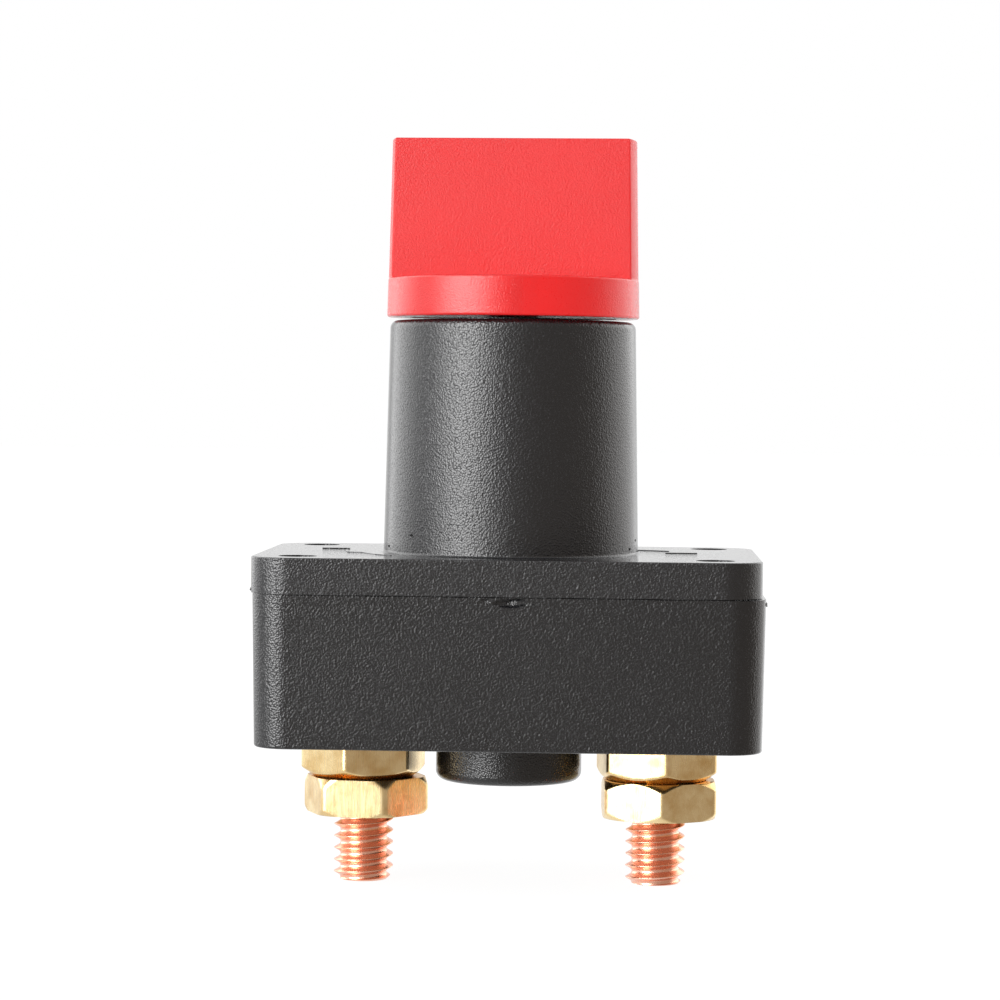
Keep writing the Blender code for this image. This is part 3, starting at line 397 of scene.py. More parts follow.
def rounded_block(name, length, depth, bottom, top, corner, corner_steps):
    """A block round the Z axis with its four upright edges rounded."""
    bm = bmesh.new()
    bmesh.ops.create_cube(bm, size=1)
    bmesh.ops.scale(bm, vec=(length, depth, top - bottom), verts=bm.verts)
    bmesh.ops.translate(bm, vec=(0, 0, (top + bottom) / 2), verts=bm.verts)
    upright = [edge for edge in bm.edges if abs(edge.verts[0].co.z - edge.verts[1].co.z) > MM]
    bmesh.ops.bevel(bm, geom=upright, offset=corner, segments=corner_steps, profile=0.5,
                    affect="EDGES", material=-1)
    return to_object(name, bm)


def prism(name, outline, bottom, top):
    """An outline in X and Y, raised from one height to another."""
    bm = bmesh.new()
    face = bm.faces.new([bm.verts.new((x, y, bottom)) for x, y in outline])
    raised = bmesh.ops.extrude_face_region(bm, geom=[face])["geom"]
    upper = [item for item in raised if isinstance(item, bmesh.types.BMVert)]
    bmesh.ops.translate(bm, vec=(0, 0, top - bottom), verts=upper)
    return to_object(name, bm)


def rod(name, radius, bottom, top, at, steps=64):
    """An upright cylinder at (x, y)."""
    bm = bmesh.new()
    bmesh.ops.create_cone(bm, cap_ends=True, segments=steps, radius1=radius, radius2=radius,
                          depth=top - bottom)
    bmesh.ops.translate(bm, vec=(at[0], at[1], (top + bottom) / 2), verts=bm.verts)
    return to_object(name, bm)


def block(name, low, high):
    """A plain block between two corners."""
    bm = bmesh.new()
    bmesh.ops.create_cube(bm, size=1)
    bmesh.ops.scale(bm, vec=[b - a for a, b in zip(low, high)], verts=bm.verts)
    bmesh.ops.translate(bm, vec=[(a + b) / 2 for a, b in zip(low, high)], verts=bm.verts)
    return to_object(name, bm)


def lump(name, centre, size, seed):
    """An uneven pebble: a ball pulled to three half-sizes and dented by noise."""
    bm = bmesh.new()
    bmesh.ops.create_icosphere(bm, subdivisions=3, radius=1)
    for vert in bm.verts:
        vert.co *= 1 + 0.45 * noise.noise(vert.co * 1.8 + Vector((seed, 0, 0)))
    bmesh.ops.scale(bm, vec=size, verts=bm.verts)
    bmesh.ops.translate(bm, vec=centre, verts=bm.verts)
    return to_object(name, bm)


def bevel_edges(piece, chosen, width, steps):
    """Rounds the edges for which chosen(edge) is true."""
    bm = bmesh.new()
    bm.from_mesh(piece.data)
    bmesh.ops.bevel(bm, geom=[edge for edge in bm.edges if chosen(edge)], offset=width,
                    segments=steps, profile=0.5, affect="EDGES", material=-1, clamp_overlap=True)
    bm.to_mesh(piece.data)
    bm.free()


def with_tool(piece, tool, operation):
    """Applies one Boolean step at once, and removes the tool."""
    step = piece.modifiers.new("step", "BOOLEAN")
    step.operation = operation
    step.solver = "EXACT"
    step.object = tool
    bpy.context.view_layer.update()
    seen = piece.evaluated_get(bpy.context.evaluated_depsgraph_get())
    made = bpy.data.meshes.new_from_object(seen)
    piece.modifiers.clear()
    piece.data = made
    bpy.data.objects.remove(tool, do_unlink=True)


def dress(piece, node_name, body, material, crease=32, even=True):
    """Gives a finished piece its material and shading, and lets it stand for its CAD node.

    even keeps broad flats flat in the shading; a thread or a finely meshed piece goes without.
    """
    piece.name = node_name + "_piece"
    piece.data.materials.clear()
    piece.data.materials.append(material)
    piece.data.shade_smooth()
    piece.data.set_sharp_from_angle(angle=math.radians(crease))
    if even:
        piece.modifiers.new("even_shading", "WEIGHTED_NORMAL").keep_sharp = True
    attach(piece, body)
    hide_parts(node_name)
    print(piece.name, len(piece.data.polygons), "faces")


print("makers ready")

# %% [markdown]
# ## The knob
#
# One red moulding: a round skirt that covers the top of the neck, and a flat bar across it that the
# fingers turn. It could be carved from one block, but its tool has two cavities, so the two are
# made apart and joined. The bar's ends follow the skirt's circle, its top is a little narrower than
# its foot so that it leaves the tool, and its upright edges are left nearly sharp. Two pockets
# below keep the wall even, and a D-shaped socket between them takes the spindle. The knob has a
# little play on the spindle, and stands 1.9 degrees off square.

# %% Knob
knob_low, knob_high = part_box("knob")
KNOB_DROP = 0.15 * MM
KNOB_BOTTOM = knob_low.z - KNOB_DROP
KNOB_TOP = knob_high.z
FOOT_RADIUS = 13.45 * MM
CROWN_RADIUS = 13.05 * MM
SKIRT_SHARE = (SKIRT_TOP - KNOB_BOTTOM) / (KNOB_TOP - KNOB_BOTTOM)
SKIRT_RADIUS = FOOT_RADIUS - (FOOT_RADIUS - CROWN_RADIUS) * SKIRT_SHARE
BAR_HALF = 4.1 * MM
BAR_DRAFT = 0.15 * MM
BAR_INSET = 0.04 * MM
BAR_SUNK = 0.5 * MM
KNOB_EDGE = 0.5 * MM
SKIRT_EDGE = 0.25 * MM
BAR_SIDE_EDGE = 0.14 * MM
PLAY_TURN = math.radians(-1.9)
WALL_THICKNESS = 2.1 * MM
ROOF_THICKNESS = 2.8 * MM
CORE_HALF = 4.8 * MM
SOCKET_RADIUS = 3.0 * MM
SOCKET_FLAT = 2.3 * MM
SOCKET_TOP = KNOB_BOTTOM + 8.8 * MM
SCREW_HOLE_RADIUS = 1.4 * MM
SCREW_HOLE_TOP = SOCKET_TOP + 5.6 * MM


def make_knob():
    skirt = [(0, SKIRT_TOP)]
    skirt += arc(SKIRT_EDGE, 90, 0, 6, (SKIRT_RADIUS - SKIRT_EDGE, SKIRT_TOP - SKIRT_EDGE))
    skirt += arc(SKIRT_EDGE, 0, -90, 6, (FOOT_RADIUS - SKIRT_EDGE, KNOB_BOTTOM + SKIRT_EDGE))
    skirt += [(0, KNOB_BOTTOM)]
    knob = turned("knob_moulding", skirt, 192)

    bar_radius = SKIRT_RADIUS - BAR_INSET
    half_angle = math.degrees(math.asin(BAR_HALF / bar_radius))
    outline = arc(bar_radius, -half_angle, half_angle, 20)
    outline += arc(bar_radius, 180 - half_angle, 180 + half_angle, 20)
    bar = prism("bar", outline, SKIRT_TOP - BAR_SUNK, KNOB_TOP)
    crown_scale = (CROWN_RADIUS - BAR_INSET) / bar_radius
    crown_thin = 1 - BAR_DRAFT / BAR_HALF
    for vert in bar.data.vertices:
        if vert.co.z > SKIRT_TOP:
            vert.co.x *= crown_scale
            vert.co.y *= crown_thin
    bevel_edges(bar, lambda edge: edge.is_manifold and edge.calc_face_angle() > SHARP
                and abs(edge.verts[0].co.z - edge.verts[1].co.z) > MM, BAR_SIDE_EDGE, 5)
    bevel_edges(bar, lambda edge: min(v.co.z for v in edge.verts) > KNOB_TOP - 0.01 * MM
                and edge.calc_face_angle() > SHARP, KNOB_EDGE, 6)
    with_tool(knob, bar, "UNION")

    pocket_far = CROWN_RADIUS - WALL_THICKNESS
    pocket_half = BAR_HALF - WALL_THICKNESS
    for side in (1, -1):
        near, far = sorted((side * CORE_HALF, side * pocket_far))
        with_tool(knob, block("pocket", (near, -pocket_half, KNOB_BOTTOM - PAST),
                              (far, pocket_half, KNOB_TOP - ROOF_THICKNESS)), "DIFFERENCE")
    flat_angle = math.degrees(math.asin(SOCKET_FLAT / SOCKET_RADIUS))
    socket = arc(SOCKET_RADIUS, -flat_angle, 180 + flat_angle, 40)
    with_tool(knob, prism("socket", socket, KNOB_BOTTOM - PAST, SOCKET_TOP), "DIFFERENCE")
    with_tool(knob, rod("screw_hole", SCREW_HOLE_RADIUS, SOCKET_TOP - PAST, SCREW_HOLE_TOP,
                        (0, 0), 32), "DIFFERENCE")
    knob.data.transform(Matrix.Rotation(PLAY_TURN, 4, "Z"))
    return knob


dress(make_knob(), "knob", "knob", red_nylon)

# %% [markdown]
# ## Cover and neck
#
# The cover plate and the tall neck are one moulding. A spun profile gives the neck, with its
# rounded mouth, the low collar that the knob turns on, and the small fillet at its foot. A rounded
# block gives the plate. The bore, its two key ribs, the four fixing holes and the locating lip
# below are cut or joined as the steel of the tool would be. Low ridges on the plate, a tenth of a
# millimetre high, are marks that the tool left. The edge at the seam waves a little, so the dark
# line of the seam comes and goes. Four tiny pits mark the foot of the neck, and a flake of flash
# stands at the left end of the seam.

# %% Cover and neck
SEAM = 31.4 * MM
SEAM_HALF_GAP = 0.03 * MM
SEAM_WAVE = 0.05 * MM
WAVE_LENGTH = 3.0 * MM
WAVE_CUT = 1.5 * MM
COVER_BOTTOM = SEAM + SEAM_HALF_GAP
BASE_TOP = 35.2 * MM
NECK_TOP = 59.85 * MM
COLLAR_TOP = 60.05 * MM
COLLAR_RADIUS = 9.7 * MM
NECK_TOP_RADIUS = 13.1 * MM
NECK_FOOT_RADIUS = 13.6 * MM
NECK_EDGE = 0.8 * MM
NECK_FILLET = 0.3 * MM
NECK_PITS = ((-12.72, -4.78, 35.94), (-10.07, -9.08, 37.26),
             (13.28, -2.77, 36.76), (12.68, -4.88, 35.89))
PIT_SIZE = (0.25 * MM, 0.30 * MM, 0.14 * MM)
COVER_BURR = (-26.18 * MM, -13.9 * MM, 31.75 * MM)
COVER_BURR_SIZE = (0.2 * MM, 0.4 * MM, 0.2 * MM)
BASE_LENGTH = 52.5 * MM
BASE_DEPTH = 36.0 * MM
BASE_CORNER = 3.8 * MM
COVER_LENGTH = 52.6 * MM
COVER_SHIFT = 0.05 * MM
COVER_CORNER = 4.2 * MM
COVER_EDGE = 0.15 * MM
SEAM_EDGE = 0.05 * MM
WALL = 2.5 * MM
CLEAR = 0.3 * MM
BORE_RADIUS = 10.5 * MM
WEB_BOTTOM = 54.9 * MM
JOURNAL_HOLE = 4.3 * MM
RIB_HALF = 1.5 * MM
RIB_INNER = 8.7 * MM
RIB_BOTTOM = COVER_BOTTOM + 0.6 * MM
LIP_BOTTOM = 29.95 * MM
LIP_WALL = 1.2 * MM
FIXING_X = 21.5 * MM
FIXING_Y = 13.5 * MM
FIXING_RADIUS = 2.0 * MM
POST_RADIUS = 3.5 * MM
FIXINGS = [(side_x * FIXING_X, side_y * FIXING_Y) for side_x in (-1, 1) for side_y in (-1, 1)]
TOOL_MARKS = [
    [(-20.3, 3.9), (-17.8, 3.9)],
    [(-17.7, 0.0), (-17.1, -4.1), (-15.7, -4.5), (-13.8, -8.7), (-12.1, -10.9)],
    [(13.6, 8.3), (16.9, 6.7)],
    [(16.8, 2.2), (19.7, 2.2)],
]
MARK_HEIGHTS = (0.11 * MM, 0.07 * MM, 0.07 * MM, 0.09 * MM)
MARK_WIDTHS = (0.50 * MM, 0.16 * MM, 0.16 * MM, 0.50 * MM)
MARK_SUNK = 0.3 * MM


def at_height(edge, height):
    """Whether an edge lies level at a height."""
    return all(abs(vert.co.z - height) < TINY for vert in edge.verts)


def cut_across(piece):
    """Cuts a long block into slices across X, so that its long edges can wave."""
    bm = bmesh.new()
    bm.from_mesh(piece.data)
    cuts = int(BASE_LENGTH / WAVE_CUT)
    for i in range(1, cuts):
        bmesh.ops.bisect_plane(bm, geom=bm.verts[:] + bm.edges[:] + bm.faces[:], dist=CUT_SLACK,
                               plane_co=((i / cuts - 0.5) * BASE_LENGTH, 0, 0), plane_no=(1, 0, 0))
    bm.to_mesh(piece.data)
    bm.free()


def wave_edge(piece, height, depth, seed):
    """Moves the outer edge near a height up or down by a smooth noise, at most by depth."""
    for vert in piece.data.vertices:
        nearness = 1 - abs(vert.co.z - height) / (4 * depth)
        if nearness > 0:
            vert.co.z += depth * nearness * noise.noise(Vector((*vert.co.xy, seed)) / WAVE_LENGTH)


def ridge(start, end, width, height):
    """A low ridge on the plate between two points, given in millimetres."""
    start, end = Vector(start) * MM, Vector(end) * MM
    along = (end - start).normalized() * width / 2
    side = Vector((-along.y, along.x))
    corners = (start - along - side, end + along - side, end + along + side, start - along + side)
    outline = [tuple(corner) for corner in corners]
    return prism("ridge", outline, BASE_TOP - MARK_SUNK, BASE_TOP + height)


def make_cover():
    cover = rounded_block("cover", COVER_LENGTH, BASE_DEPTH, COVER_BOTTOM, BASE_TOP,
                          COVER_CORNER, 24)
    bevel_edges(cover, lambda edge: at_height(edge, BASE_TOP), COVER_EDGE, 3)
    bevel_edges(cover, lambda edge: at_height(edge, COVER_BOTTOM), SEAM_EDGE, 2)
    cut_across(cover)
    wave_edge(cover, COVER_BOTTOM, SEAM_WAVE, 1.0)
    cover.data.transform(Matrix.Translation((COVER_SHIFT, 0, 0)))
    with_tool(cover, lump("burr", COVER_BURR, COVER_BURR_SIZE, 2.0), "UNION")
    for points, height, width in zip(TOOL_MARKS, MARK_HEIGHTS, MARK_WIDTHS):
        for start, end in zip(points, points[1:]):
            with_tool(cover, ridge(start, end, width, height), "UNION")

    neck = [(0, COLLAR_TOP), (COLLAR_RADIUS, COLLAR_TOP), (COLLAR_RADIUS, NECK_TOP)]
    neck += arc(NECK_EDGE, 90, 0, 8, (NECK_TOP_RADIUS - NECK_EDGE, NECK_TOP - NECK_EDGE))
    neck += arc(NECK_FILLET, 180, 265, 6, (NECK_FOOT_RADIUS + NECK_FILLET, BASE_TOP + NECK_FILLET))
    neck += [(NECK_FOOT_RADIUS + NECK_FILLET, BASE_TOP - PAST), (0, BASE_TOP - PAST)]
    with_tool(cover, turned("neck", neck, 192), "UNION")
    for number, place in enumerate(NECK_PITS):
        with_tool(cover, lump("pit", Vector(place) * MM, PIT_SIZE, number), "DIFFERENCE")

    bore = turned("bore", [(0, COLLAR_TOP + PAST), (JOURNAL_HOLE, COLLAR_TOP + PAST),
                           (JOURNAL_HOLE, WEB_BOTTOM), (BORE_RADIUS, WEB_BOTTOM),
                           (BORE_RADIUS, COVER_BOTTOM - PAST), (0, COVER_BOTTOM - PAST)], 96)
    for side in (1, -1):
        near, far = sorted((side * RIB_INNER, side * (BORE_RADIUS + PAST)))
        with_tool(bore, block("rib", (-RIB_HALF, near, RIB_BOTTOM),
                              (RIB_HALF, far, WEB_BOTTOM + PAST)), "DIFFERENCE")
    with_tool(cover, bore, "DIFFERENCE")

    lip_length = BASE_LENGTH - 2 * WALL - 2 * CLEAR
    lip_depth = BASE_DEPTH - 2 * WALL - 2 * CLEAR
    lip = rounded_block("lip", lip_length, lip_depth, LIP_BOTTOM, COVER_BOTTOM + PAST,
                        BASE_CORNER - WALL, 6)
    hollow = rounded_block("lip_inside", lip_length - 2 * LIP_WALL, lip_depth - 2 * LIP_WALL,
                           LIP_BOTTOM - PAST, COVER_BOTTOM + 2 * PAST, BASE_CORNER - WALL, 6)
    with_tool(lip, hollow, "DIFFERENCE")
    for place in FIXINGS:
        with_tool(lip, rod("post_room", POST_RADIUS + CLEAR, LIP_BOTTOM - PAST,
                           COVER_BOTTOM + 2 * PAST, place, 48), "DIFFERENCE")
    with_tool(cover, lip, "UNION")
    for place in FIXINGS:
        with_tool(cover, rod("fixing", FIXING_RADIUS, LIP_BOTTOM - PAST, BASE_TOP + PAST, place),
                  "DIFFERENCE")
    return cover


dress(make_cover(), "upper_housing", "housing", cover_nylon)

# %% [markdown]
# ## The box and its boss
#
# The deep box below the seam is the second black moulding. It is drafted, a little narrower at the
# bottom, and sits 0.3 mm off the cover to the right, which shows as a small step at both ends of
# the seam. The round boss below holds the return spring. The box has had a knock: a chip is missing
# from its front edge at the seam, cut here with two uneven pebbles. A third is joined on as the
# flake of flash at the right end of the seam.

# %% Box
BASE_BOTTOM = 15.6 * MM
BOX_TOP = SEAM - SEAM_HALF_GAP
BOX_LENGTH = 52.75 * MM
BOX_CORNER = 3.7 * MM
BOX_SHIFT = 0.32 * MM
BOX_DRAFT = 0.25 * MM
BOX_EDGE = 0.25 * MM
CHIPS = [
    ((0.9 * MM, -18.0 * MM, 30.85 * MM), (2.1 * MM, 0.45 * MM, 0.46 * MM), 5.0),
    ((-1.9 * MM, -18.0 * MM, 31.0 * MM), (0.8 * MM, 0.14 * MM, 0.24 * MM), 8.0),
]
BOX_BURR = (26.62 * MM, -14.4 * MM, 30.85 * MM)
BOX_BURR_SIZE = (0.22 * MM, 0.5 * MM, 0.26 * MM)
FLOOR_TOP = 18.2 * MM
BOSS_RADIUS = 7.8 * MM
BOSS_BOTTOM = 10.9 * MM
BOSS_EDGE = 1.0 * MM
WELL_RADIUS = 6.0 * MM
WELL_BOTTOM = 12.9 * MM
STUD_X = 15.55 * MM
STUD_RADIUS = 3.175 * MM
HEAD_HALF = 4.5 * MM
HEAD_RIB = 1.2 * MM
HEAD_RIB_TOP = 20.7 * MM
POST_HOLE_BOTTOM = 20.2 * MM


def make_box():
    box = rounded_block("box", BOX_LENGTH, BASE_DEPTH, BASE_BOTTOM, BOX_TOP, BOX_CORNER, 24)
    bevel_edges(box, lambda edge: at_height(edge, BOX_TOP), SEAM_EDGE, 2)
    bevel_edges(box, lambda edge: at_height(edge, BASE_BOTTOM), BOX_EDGE, 3)
    cut_across(box)
    wave_edge(box, BOX_TOP, SEAM_WAVE, 4.0)
    for vert in box.data.vertices:
        share = (BOX_TOP - vert.co.z) / (BOX_TOP - BASE_BOTTOM)
        vert.co.x *= 1 - 2 * BOX_DRAFT / BOX_LENGTH * share
        vert.co.y *= 1 - 2 * BOX_DRAFT / BASE_DEPTH * share
        vert.co.x += BOX_SHIFT

    for centre, size, seed in CHIPS:
        with_tool(box, lump("chip", centre, size, seed), "DIFFERENCE")
    with_tool(box, lump("burr", BOX_BURR, BOX_BURR_SIZE, 3.0), "UNION")

    boss = [(0, BASE_BOTTOM + PAST), (BOSS_RADIUS, BASE_BOTTOM + PAST)]
    boss += arc(BOSS_EDGE, 0, -90, 10, (BOSS_RADIUS - BOSS_EDGE, BOSS_BOTTOM + BOSS_EDGE))
    boss += [(0, BOSS_BOTTOM)]
    with_tool(box, turned("boss", boss, 128), "UNION")

    cavity = rounded_block("cavity", BASE_LENGTH - 2 * WALL, BASE_DEPTH - 2 * WALL, FLOOR_TOP,
                           BOX_TOP + PAST, BASE_CORNER - WALL, 6)
    for place in FIXINGS:
        with_tool(cavity, rod("post", POST_RADIUS, FLOOR_TOP - PAST, BOX_TOP + 2 * PAST, place, 48),
                  "DIFFERENCE")
    for x in (-STUD_X, STUD_X):
        for side in (1, -1):
            near, far = sorted((side * (HEAD_HALF + CLEAR), side * (HEAD_HALF + CLEAR + HEAD_RIB)))
            with_tool(cavity, block("head_rib", (x - HEAD_HALF, near, FLOOR_TOP - PAST),
                                    (x + HEAD_HALF, far, HEAD_RIB_TOP)), "DIFFERENCE")
    with_tool(box, cavity, "DIFFERENCE")
    with_tool(box, rod("well", WELL_RADIUS, WELL_BOTTOM, FLOOR_TOP + PAST, (0, 0)), "DIFFERENCE")
    for x in (-STUD_X, STUD_X):
        with_tool(box, rod("stud_hole", STUD_RADIUS + CLEAR, BASE_BOTTOM - PAST,
                           FLOOR_TOP + PAST, (x, 0)), "DIFFERENCE")
    for place in FIXINGS:
        with_tool(box, rod("post_hole", FIXING_RADIUS, POST_HOLE_BOTTOM, BOX_TOP + PAST, place),
                  "DIFFERENCE")
    return box


dress(make_box(), "lower_housing", "housing", box_nylon)

# %% [markdown]
# ## The threaded studs
#
# A 1/4-20 thread is a groove that climbs 1.27 mm each turn. The same spin that turns a profile
# makes it, when each step also climbs a little: the profile is then one pitch of the thread, and
# after a full turn its upper end meets the lower end of the next. A rolled thread has a wide round
# root and a narrow round crest, and these catch the lamp, so both are arcs between the 60 degree
# flanks. The rough ends are cut square, and the blank, a rod with a chamfered tip, trims the last
# turn. Above the thread come a plain shank and a square head, which hides in the box.

# %% Studs
PITCH = 1.27 * MM
THREAD_DEPTH = 0.70 * MM
ROOT_ROUND = 0.34 * MM
FLANK_LEAN = math.radians(30)
THREAD_TOP = 18.9 * MM
HEAD_BOTTOM = 19.6 * MM
HEAD_TOP = 22.6 * MM
HEAD_CORNER = 0.9 * MM
HEAD_EDGE = 0.3 * MM
SHANK_RADIUS = STUD_RADIUS - 0.1 * MM
SHANK_SUNK = 0.4 * MM
TIP_CHAMFER = 0.65 * MM
SPARE_TURNS = 4
STEPS_A_TURN = 64


def thread_profile():
    """One pitch of the thread, from the middle of a root to the middle of the next."""
    lean = math.tan(FLANK_LEAN)
    bend = 90 - math.degrees(FLANK_LEAN)
    arc_reach = math.sin(math.radians(bend))
    arc_rise = 1 - math.cos(math.radians(bend))
    both_rounds = (PITCH / 2 - THREAD_DEPTH * lean) / (arc_reach - arc_rise * lean)
    crest_round = both_rounds - ROOT_ROUND
    root_centre = STUD_RADIUS - THREAD_DEPTH + ROOT_ROUND
    rising = arc(ROOT_ROUND, 180, 180 - bend, 5, (root_centre, 0))
    crest = arc(crest_round, -bend, bend, 4, (STUD_RADIUS - crest_round, PITCH / 2))
    falling = arc(ROOT_ROUND, 180 + bend, 180, 5, (root_centre, PITCH))
    return rising + crest + falling


def make_stud(name, x, crest_height):
    """crest_height is where a crest stands on the stud's left side, above the tip."""
    turns = math.ceil(THREAD_TOP / PITCH) + SPARE_TURNS
    start = crest_height - 3 * PITCH
    bm = bmesh.new()
    verts = [bm.verts.new((radius, 0, start + height)) for radius, height in thread_profile()]
    edges = [bm.edges.new(pair) for pair in zip(verts, verts[1:])]
    bmesh.ops.spin(bm, geom=verts + edges, cent=(0, 0, 0), axis=(0, 0, 1),
                   dvec=(0, 0, PITCH / STEPS_A_TURN), angle=2 * math.pi * turns,
                   steps=STEPS_A_TURN * turns, use_merge=False, use_duplicate=False)
    bmesh.ops.remove_doubles(bm, verts=bm.verts, dist=2 * TINY)
    for height, side in ((0.0, 1), (THREAD_TOP, -1)):
        bmesh.ops.bisect_plane(bm, geom=bm.verts[:] + bm.edges[:] + bm.faces[:], dist=CUT_SLACK,
                               plane_co=(0, 0, height), plane_no=(0, 0, -side), clear_outer=True)
        rim = [edge for edge in bm.edges if edge.is_boundary and at_height(edge, height)]
        bmesh.ops.edgeloop_fill(bm, edges=rim)
    stud = to_object(name, bm)
    blank = [(0, THREAD_TOP + PAST), (STUD_RADIUS + PAST, THREAD_TOP + PAST),
             (STUD_RADIUS + PAST, TIP_CHAMFER + PAST), (STUD_RADIUS - TIP_CHAMFER, 0),
             (STUD_RADIUS - TIP_CHAMFER - PAST, -PAST), (0, -PAST)]
    with_tool(stud, turned("blank", blank, 96), "INTERSECT")
    with_tool(stud, rod("shank", SHANK_RADIUS, THREAD_TOP - SHANK_SUNK, HEAD_BOTTOM + SHANK_SUNK,
                        (0, 0), 96), "UNION")
    head = rounded_block("head", 2 * HEAD_HALF, 2 * HEAD_HALF, HEAD_BOTTOM, HEAD_TOP,
                         HEAD_CORNER, 6)
    bevel_edges(head, lambda edge: at_height(edge, HEAD_TOP), HEAD_EDGE, 2)
    with_tool(stud, head, "UNION")
    stud.data.transform(Matrix.Translation((x, 0, 0)))
    return stud


STUD_AXES = {"left": -STUD_X + 0.05 * MM, "right": STUD_X + 0.22 * MM}
for side, crest_height in (("left", 0.77 * MM), ("right", 0.60 * MM)):
    stud = make_stud(side, STUD_AXES[side], crest_height)
    dress(stud, side + "_stud", "housing", rolled_copper, 40, False)

# %% [markdown]
# ## The brass nuts
#
# A nut starts as a length of hexagon bar. The lathe turns each end to a cone, which is what leaves
# the curved line over every flat, and tumbling then rounds every edge. A Boolean of hexagon and
# cones would leave those edges sharp and hard to bevel. So a fine tube is spun instead, and each of
# its outer points moves in to the nearest of the six flats and two cones, with a soft blend where
# two of them meet. Screwed down by hand, no nut sits quite true, so each is a little off the axis.

# %% Nuts
NUT_FLATS = 11.9 * MM
NUT_THICKNESS = 3.9 * MM
NUT_CORNER_BLEND = 0.43 * MM
NUT_RIM_BLEND = 0.20 * MM
NUT_STEPS = 288
NUT_RINGS = 36
JAM_TOP = 15.3 * MM
JAM_BOTTOM = 11.13 * MM
TERMINAL_TOP = 11.12 * MM
TERMINAL_BOTTOM = TERMINAL_TOP - NUT_THICKNESS
NUT_BORE = STUD_RADIUS + CLEAR
NUT_MOUTH = 0.5 * MM
GENTLE_CONE = math.tan(math.radians(33))
STEEP_CONE = math.tan(math.radians(45))
CORNER_CONE = math.tan(math.radians(62))


def soft_least(first, second, blend):
    """The smaller of two lengths, eased where they differ by less than blend."""
    near = max(blend - abs(first - second), 0) / blend
    return min(first, second) - near * near * blend / 4


def make_nut(x, bottom, top, turn, lower_face, lower_cone, upper_face, upper_cone):
    """A nut with one flat turned from the front by turn, in degrees.

    A face is the radius of a flat end, and a cone is how steeply the end falls away outside it.
    """
    mouth = NUT_BORE + NUT_MOUTH
    wide = NUT_FLATS
    heights = [bottom + (top - bottom) * i / NUT_RINGS for i in range(NUT_RINGS + 1)]
    profile = [(NUT_BORE, bottom + NUT_MOUTH), (mouth, bottom)]
    profile += [(wide, height) for height in heights]
    profile += [(mouth, top), (NUT_BORE, top - NUT_MOUTH)]
    nut = turned("nut", profile, NUT_STEPS)
    for vert in nut.data.vertices:
        if vert.co.xy.length < wide - TINY:
            continue
        angle = math.degrees(math.atan2(vert.co.x, -vert.co.y)) - turn
        from_flat = math.radians((angle + 30) % 60 - 30)
        flat = NUT_FLATS / 2 / math.cos(from_flat)
        next_flat = NUT_FLATS / 2 / math.cos(math.radians(60) - abs(from_flat))
        side = soft_least(flat, next_flat, NUT_CORNER_BLEND)
        lower = lower_face + (vert.co.z - bottom) / lower_cone
        upper = upper_face + (top - vert.co.z) / upper_cone
        radius = soft_least(soft_least(side, lower, NUT_RIM_BLEND), upper, NUT_RIM_BLEND)
        vert.co.x *= radius / wide
        vert.co.y *= radius / wide
    nut.data.transform(Matrix.Translation((x, 0, 0)))
    return nut


for name, x, bottom, top, turn, lower_face, lower_cone, upper_face, upper_cone in (
    ("left_jam_nut", -STUD_X - 0.04 * MM, JAM_BOTTOM, JAM_TOP, 17.3,
     5.26 * MM, GENTLE_CONE, 5.80 * MM, GENTLE_CONE),
    ("left_terminal_nut", -STUD_X + 0.27 * MM, TERMINAL_BOTTOM, TERMINAL_TOP, -8.4,
     6.35 * MM, STEEP_CONE, 6.35 * MM, CORNER_CONE),
    ("right_jam_nut", STUD_X + 0.27 * MM, JAM_BOTTOM, JAM_TOP, -20.0,
     5.26 * MM, GENTLE_CONE, 5.80 * MM, GENTLE_CONE),
    ("right_terminal_nut", STUD_X + 0.52 * MM, TERMINAL_BOTTOM - 0.12 * MM, TERMINAL_TOP, 33.3,
     6.15 * MM, STEEP_CONE, 6.02 * MM, STEEP_CONE),
):
    nut = make_nut(x, bottom, top, turn, lower_face, lower_cone, upper_face, upper_cone)
    dress(nut, name, "housing", milled_brass, 60, False)

# %% [markdown]
# ## The return spring
#
# The spring that lifts the plunger is the one piece that changes shape as the knob turns. The first
# and the last turn lie closed, as on every spring that has to stand upright. One round of wire is
# spun up the coil, in three spins because the closed turns climb less than the open ones.

# %% Return spring
SPRING_WIRE = 0.4 * MM
SPRING_RADIUS = 5.1 * MM
SPRING_TURNS = 5
SPRING_STEPS = 48
CLOSED_RISE = 1.3 * 2 * SPRING_WIRE
WIRE_SIDES = 12
spring_low, spring_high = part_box("return_spring")


def make_spring():
    """Round wire wound into a coil as high as the CAD spring."""
    start = spring_low[2] + SPRING_WIRE
    open_turns = SPRING_TURNS - 2
    open_rise = (spring_high[2] - SPRING_WIRE - start - 2 * CLOSED_RISE) / open_turns
    bm = bmesh.new()
    bmesh.ops.create_circle(bm, segments=WIRE_SIDES, radius=SPRING_WIRE)
    bmesh.ops.rotate(bm, matrix=Matrix.Rotation(math.pi / 2, 3, "X"), verts=bm.verts)
    bmesh.ops.translate(bm, vec=(SPRING_RADIUS, 0, start), verts=bm.verts)
    ring = bm.verts[:] + bm.edges[:]
    for turns, rise in ((1, CLOSED_RISE), (open_turns, open_rise), (1, CLOSED_RISE)):
        wound = bmesh.ops.spin(bm, geom=ring, cent=(0, 0, 0), axis=(0, 0, 1),
                               dvec=(0, 0, rise / SPRING_STEPS), angle=2 * math.pi * turns,
                               steps=SPRING_STEPS * turns, use_merge=False, use_duplicate=False)
        ring = wound["geom_last"]
    bmesh.ops.edgeloop_fill(bm, edges=[edge for edge in bm.edges if edge.is_boundary])
    return to_object("spring", bm)


